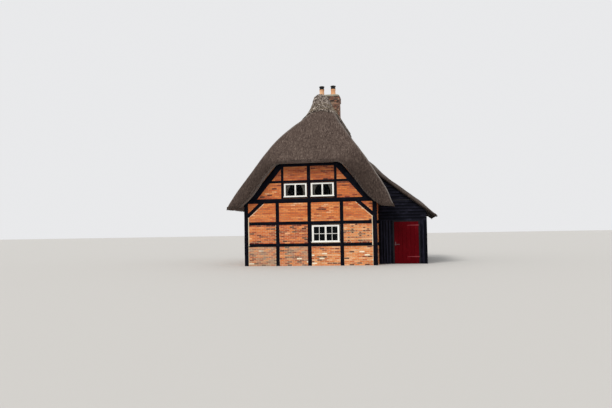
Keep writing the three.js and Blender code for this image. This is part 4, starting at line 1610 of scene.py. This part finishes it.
def addCurtainRod(name, low, high, wall):
    y, z = curtain["back"], curtain["rodHeight"]
    rod = addCylinder(12, curtain["rodRadius"], high - low, ((low + high) / 2, y, z), (0, math.pi / 2, 0))
    startEditing(rod)
    bevelPicked(0.001)
    parts = [rod]
    for x in (low, high):
        clearSelection()
        bpy.ops.mesh.primitive_uv_sphere_add(segments=12, ring_count=8, radius=curtain["knob"],
                                             location=(x, y, z))
        parts.append(settle())
        parts.append(addBlock((x - 0.005, 0.02, z - 0.006), (x + 0.005, y, z + 0.006), 0.001))
    rod = joinPieces(parts, name)
    rod.data.transform(wall)
    smoothShading(rod, 40)
    dress(rod, blackIron)


def buildWindows():
    for label, hole in (("lower", lowerHole), ("upper_right", upperRight), ("upper_left", upperLeft)):
        name = "front" + label.title().replace("_", "")
        window = buildWindow(name + "Window", hole, frontWall, "front_" + label + "_window")
        addRearTwin(window, whitePaint, ("rear_" + label + "_window",))
        addRearTwin(addLining(name, hole, frontWall), blackTimber)
    for label, start in (("front", -3.0), ("rear", 1.5)):
        hole = {**lowerHole, "left": -(start + lowerHole["right"]), "right": -(start + lowerHole["left"])}
        buildWindow(label + "SideWindow", hole, leftWall, "left_" + label + "_window")
        addLining(label + "Side", hole, leftWall)
    for name in cadNodes:
        if name.endswith("_glass"):
            dressNodes(glassWithLightPaintedShade if "upper" in name else glassWithPaintedShade, name)


def buildCurtains():
    inset, rodInset = curtain["inset"], curtain["rodInset"]
    for label, hole in (("UpperRight", upperRight), ("UpperLeft", upperLeft)):
        left, right = hole["left"], hole["right"]
        for end, wall in (("front", frontWall), ("rear", rearWall)):
            rod = end + label + "CurtainRod"
            addCurtainRod(rod, left + rodInset, right - rodInset, wall)
            addCurtain(end + label + "CurtainA", left + inset, 1, wall)
            addCurtain(end + label + "CurtainB", right - inset, -1, wall)


buildWindows()
buildCurtains()
print("stage: windows")


# Boarded outshut

boarding = {
    "weatherboard": 0.148,
    "overlap": 0.026,
    "lap": 0.004,
    "butt": 0.022,
    "tip": 0.009,
    "upright": 0.125,
    "uprightThick": (0.010, 0.013),
    "uprightTop": 2.03,
    "uprightSpans": ((3.106, 3.758), (5.012, 5.3)),
    "batten": 0.052,
    "battenThick": 0.019,
    "battenFadeAndSheen": (0.8, 1.3),
    "arris": 0.003,
    "bay": 0.4,
    "gap": 0.001,
    "left": 3.106,
    "right": 5.3,
    "front": -3.4,
    "rear": 3.4,
    "gableBottom": 2.02,
    "gableTop": 4.15,
    "sideTop": 2.4,
    # height and x of the catslide's underside
    "underRoof": [(2.29, 5.56), (3.255, 4.29), (4.17, 3.14), (4.6, 2.6)],
}


def bowBoard(piece, seed, amount):
    for vertex in piece.data.vertices:
        sway = noise.noise(Vector((vertex.co.x * 1.3, vertex.co.z * 0.8, seed)))
        vertex.co.y -= abs(sway) * amount


def weatherboard(low, high, bottom, seed):
    b = boarding
    board = addBox((low, -b["butt"], bottom - b["overlap"]), (high, 0.004, bottom + b["weatherboard"]))
    cutAcross(board, 0, round((high - low) / b["bay"]))
    top = bottom + b["weatherboard"] - 0.001
    pickEdges(board, lambda p, q: min(p.z, q.z) > top and max(p.y, q.y) < 0)
    bpy.ops.transform.translate(value=(0, b["butt"] - b["tip"], 0))
    pickEdges(board, lambda p, q: max(p.z, q.z) < bottom and max(p.y, q.y) < 0 and abs(p.x - q.x) > 0.01)
    bevelPicked(b["arris"])
    setGrain(board, "X", seed)
    # the boards are paler along their lower edge, partly weathering and partly a painted highlight on the butt,
    # and darker towards the top, painted shade under the board above
    worn = 0.45 + 0.55 * (seed * 7.31 % 1)
    setLayer(board, "faded", "FLOAT", [worn if v.co.z < bottom + 0.01 else -0.6 for v in board.data.vertices])
    bowBoard(board, seed, 0.006)
    return board


def uprightBoard(low, high, bottom, top, thick, seed):
    board = addBox((low, -thick, bottom), (high, 0.002, top))
    cutAcross(board, 2, round((top - bottom) / boarding["bay"]))
    pickEdges(board, lambda p, q: max(p.y, q.y) < -0.001 and abs(p.x - q.x) < 0.001)
    bevelPicked(boarding["arris"])
    setGrain(board, "Z", seed)
    setNumber(board, "faded", 0.0)
    bowBoard(board, seed, 0.004)
    return board


def boardHeights(bottom, top):
    z = bottom + boarding["overlap"]
    while z < top:
        yield z
        z += boarding["weatherboard"] - boarding["lap"]


def gableCourses(bottom):
    # heights of the courses, and how far each one reaches under the roof
    for z in boardHeights(bottom, boarding["gableTop"]):
        edge = min(boarding["right"], lineAt(boarding["underRoof"], z) + 0.05)
        if edge > 3.2:
            yield z, edge


def cornerBoard():
    return uprightBoard(boarding["left"], boarding["left"] + 0.029, 0.0, 4.1, 0.028, 4.0)


def uprightBoards(low, high, dice):
    # boards beside the door, with a batten over each joint
    b = boarding
    boards = []
    count = round((high - low) / b["upright"])
    width = (high - low) / count
    half = b["batten"] / 2
    for n in range(count):
        left = low + n * width
        boards.append(uprightBoard(left + 0.002, left + width - 0.002, 0.01, b["uprightTop"],
                                   dice.uniform(*b["uprightThick"]), dice.uniform(0, 60)))
        if n:
            batten = uprightBoard(left - half, left + half, 0.02, b["uprightTop"], b["battenThick"],
                                  dice.uniform(0, 60))
            # battens are paler than the boards, partly wear and partly a painted sheen
            setNumber(batten, "faded", dice.uniform(*b["battenFadeAndSheen"]))
            boards.append(batten)
    return boards


def dressBoards(boards, name, wall):
    face = joinPieces(boards, name)
    placeMesh(face, wall)
    smoothShading(face, 30)
    dress(face, tarredBoards)


def buildOutshutBoards():
    b = boarding
    dice = random.Random(31)
    frontFace = moved(0, b["front"], 0)
    front = [weatherboard(b["left"], edge, z, dice.uniform(0, 60))
             for z, edge in gableCourses(b["gableBottom"])]
    for span in b["uprightSpans"]:
        front += uprightBoards(*span, dice)
    rail = uprightBoard(b["left"], 4.66, 2.955, 3.0, 0.036, 7.0)
    setGrain(rail, "X", 3.0)
    rail.data.transform(frontFace)
    rail.name = "outshutRail"
    dress(rail, wornTimberPaintedHighlight)
    dressBoards(front + [cornerBoard()], "outshutFrontBoards", frontFace)
    rear = []
    for z, edge in gableCourses(0):
        split = dice.uniform(4.0, 4.6)
        spans = [(b["left"], edge)]
        if edge > split + 0.2:
            spans = [(b["left"], split - b["gap"]), (split + b["gap"], edge)]
        rear += [weatherboard(*span, z, dice.uniform(0, 60)) for span in spans]
    dressBoards(rear + [cornerBoard()], "outshutRearBoards", moved(0, b["rear"], 0) @ mirror)
    side = []
    for z in boardHeights(0, b["sideTop"]):
        ends = [b["front"], dice.uniform(-1.6, -0.6), dice.uniform(0.9, 2.0), b["rear"]]
        side += [weatherboard(first + b["gap"], last - b["gap"], z, dice.uniform(0, 60))
                 for first, last in zip(ends, ends[1:])]
    side += [uprightBoard(corner, corner + 0.07, 0.0, 2.45, 0.032, corner) for corner in (-3.4, 3.33)]
    dressBoards(side, "outshutSideBoards", wallAt(b["right"], 0, 1))
    dressNodes(plainTar, "outshut_front_boards_left", "outshut_front_boards_right", "outshut_gable_boards",
               "outshut_side_wall", "outshut_rear_wall", "door_post_left", "door_post_right", "door_lintel")


buildOutshutBoards()
print("stage: outshut boards")


# Red plank door

doorWork = {
    "left": 3.825, "right": 4.945, "bottom": 0.015, "top": 1.955,
    "front": -3.4, "planks": 6, "plank": 0.022, "ledge": 0.018, "arris": 0.007, "gap": 0.0008,
    "ledgeHeights": (0.33, 1.06, 1.79), "ledgeWidth": 0.12, "ledgeInset": 0.03,
    "strapHeights": (0.33, 1.79), "strapFrom": 4.40,
    "nailRadius": 0.005, "nailDepth": 0.004, "nailRise": 0.03, "nailStray": 0.004,
}
latchBar = {
    "left": 3.832, "right": 4.070, "height": 0.905, "half": 0.012, "gap": 0.0048, "thick": 0.008,
    "staples": (3.955, 4.045), "stapleHalf": (0.007, 0.022), "stapleReach": 0.020,
}


def makeNail():
    nail = addCylinder(8, doorWork["nailRadius"], doorWork["nailDepth"], turn=(math.pi / 2, 0, 0))
    pickFaces(nail, lambda normal: normal.y < -0.9)
    bpy.ops.transform.resize(value=(0.6, 1, 0.6))
    doneEditing()
    setGrain(nail, "X", 2.0)
    return nail


def buildDoor():
    d = doorWork
    dice = random.Random(2)
    width = (d["right"] - d["left"]) / d["planks"]
    back = d["front"] + d["plank"]
    parts = []
    for n in range(d["planks"]):
        low, high = d["left"] + n * width, d["left"] + (n + 1) * width
        plank = addBox((low + d["gap"], d["front"], d["bottom"]), (high - d["gap"], back, d["top"]))
        cutAcross(plank, 2, 5)
        pickEdges(plank, lambda p, q: max(p.y, q.y) < d["front"] + 0.001 and abs(p.x - q.x) < 0.001)
        bevelPicked(d["arris"])
        setGrain(plank, "Z", dice.uniform(0, 60))
        parts.append(plank)
    for z in d["ledgeHeights"]:
        ledge = addBlock((d["left"] + d["ledgeInset"], back, z - d["ledgeWidth"] / 2),
                         (d["right"] - d["ledgeInset"], back + d["ledge"], z + d["ledgeWidth"] / 2))
        setGrain(ledge, "X", dice.uniform(0, 60))
        parts.append(ledge)
        for n in range(2 * d["planks"]):
            x = d["left"] + (n // 2 + (0.75 if n % 2 else 0.25)) * width
            # the straps lie where these nails would be
            if z in d["strapHeights"] and x > d["strapFrom"]:
                continue
            for height in (z - d["nailRise"], z + d["nailRise"]):
                stray = dice.uniform(-d["nailStray"], d["nailStray"])
                parts.append(copyOf(nailModel, moved(x, d["front"], height + stray)))
    door = joinPieces(parts, "redPlankDoor")
    smoothShading(door, 40)
    dress(door, redBoards, body="door", replaced=("red_door",))


def buildLatchBar():
    b = latchBar
    face, centre = doorWork["front"], b["height"]
    wide, tall = b["stapleHalf"]
    front = face - b["gap"] - b["thick"]
    reach = face - b["stapleReach"]
    parts = [addBlock((b["left"], front, centre - b["half"]),
                      (b["right"], face - b["gap"], centre + b["half"]), 0.002)]
    for x in b["staples"]:
        for low, high, back in ((-tall, -b["half"], face + 0.001), (b["half"], tall, face + 0.001),
                                (0.002 - tall, tall - 0.002, front)):
            parts.append(addBlock((x - wide, reach, centre + low), (x + wide, back, centre + high), 0.0015))
    bar = joinPieces(parts, "doorLatchBar")
    smoothShading(bar, 40)
    dress(bar, wornIron, body="door")


nailModel = makeNail()
buildDoor()
buildLatchBar()
dressNodes(redIron, "upper_strap_hinge", "lower_strap_hinge")
dressNodes(blackIron, "upper_hinge_pin", "lower_hinge_pin")
dressNodes(wornIron, "door_latch")
dressNodes(brickFloor, "main_floor", "outshut_floor")
dressNodes(plankFloor, "upper_floor")
print("stage: door and floors")

# the models that were only there to be copied
for model in [pegModel, rodModel, nailModel] + tuftModels + brickModels:
    bpy.data.objects.remove(model)
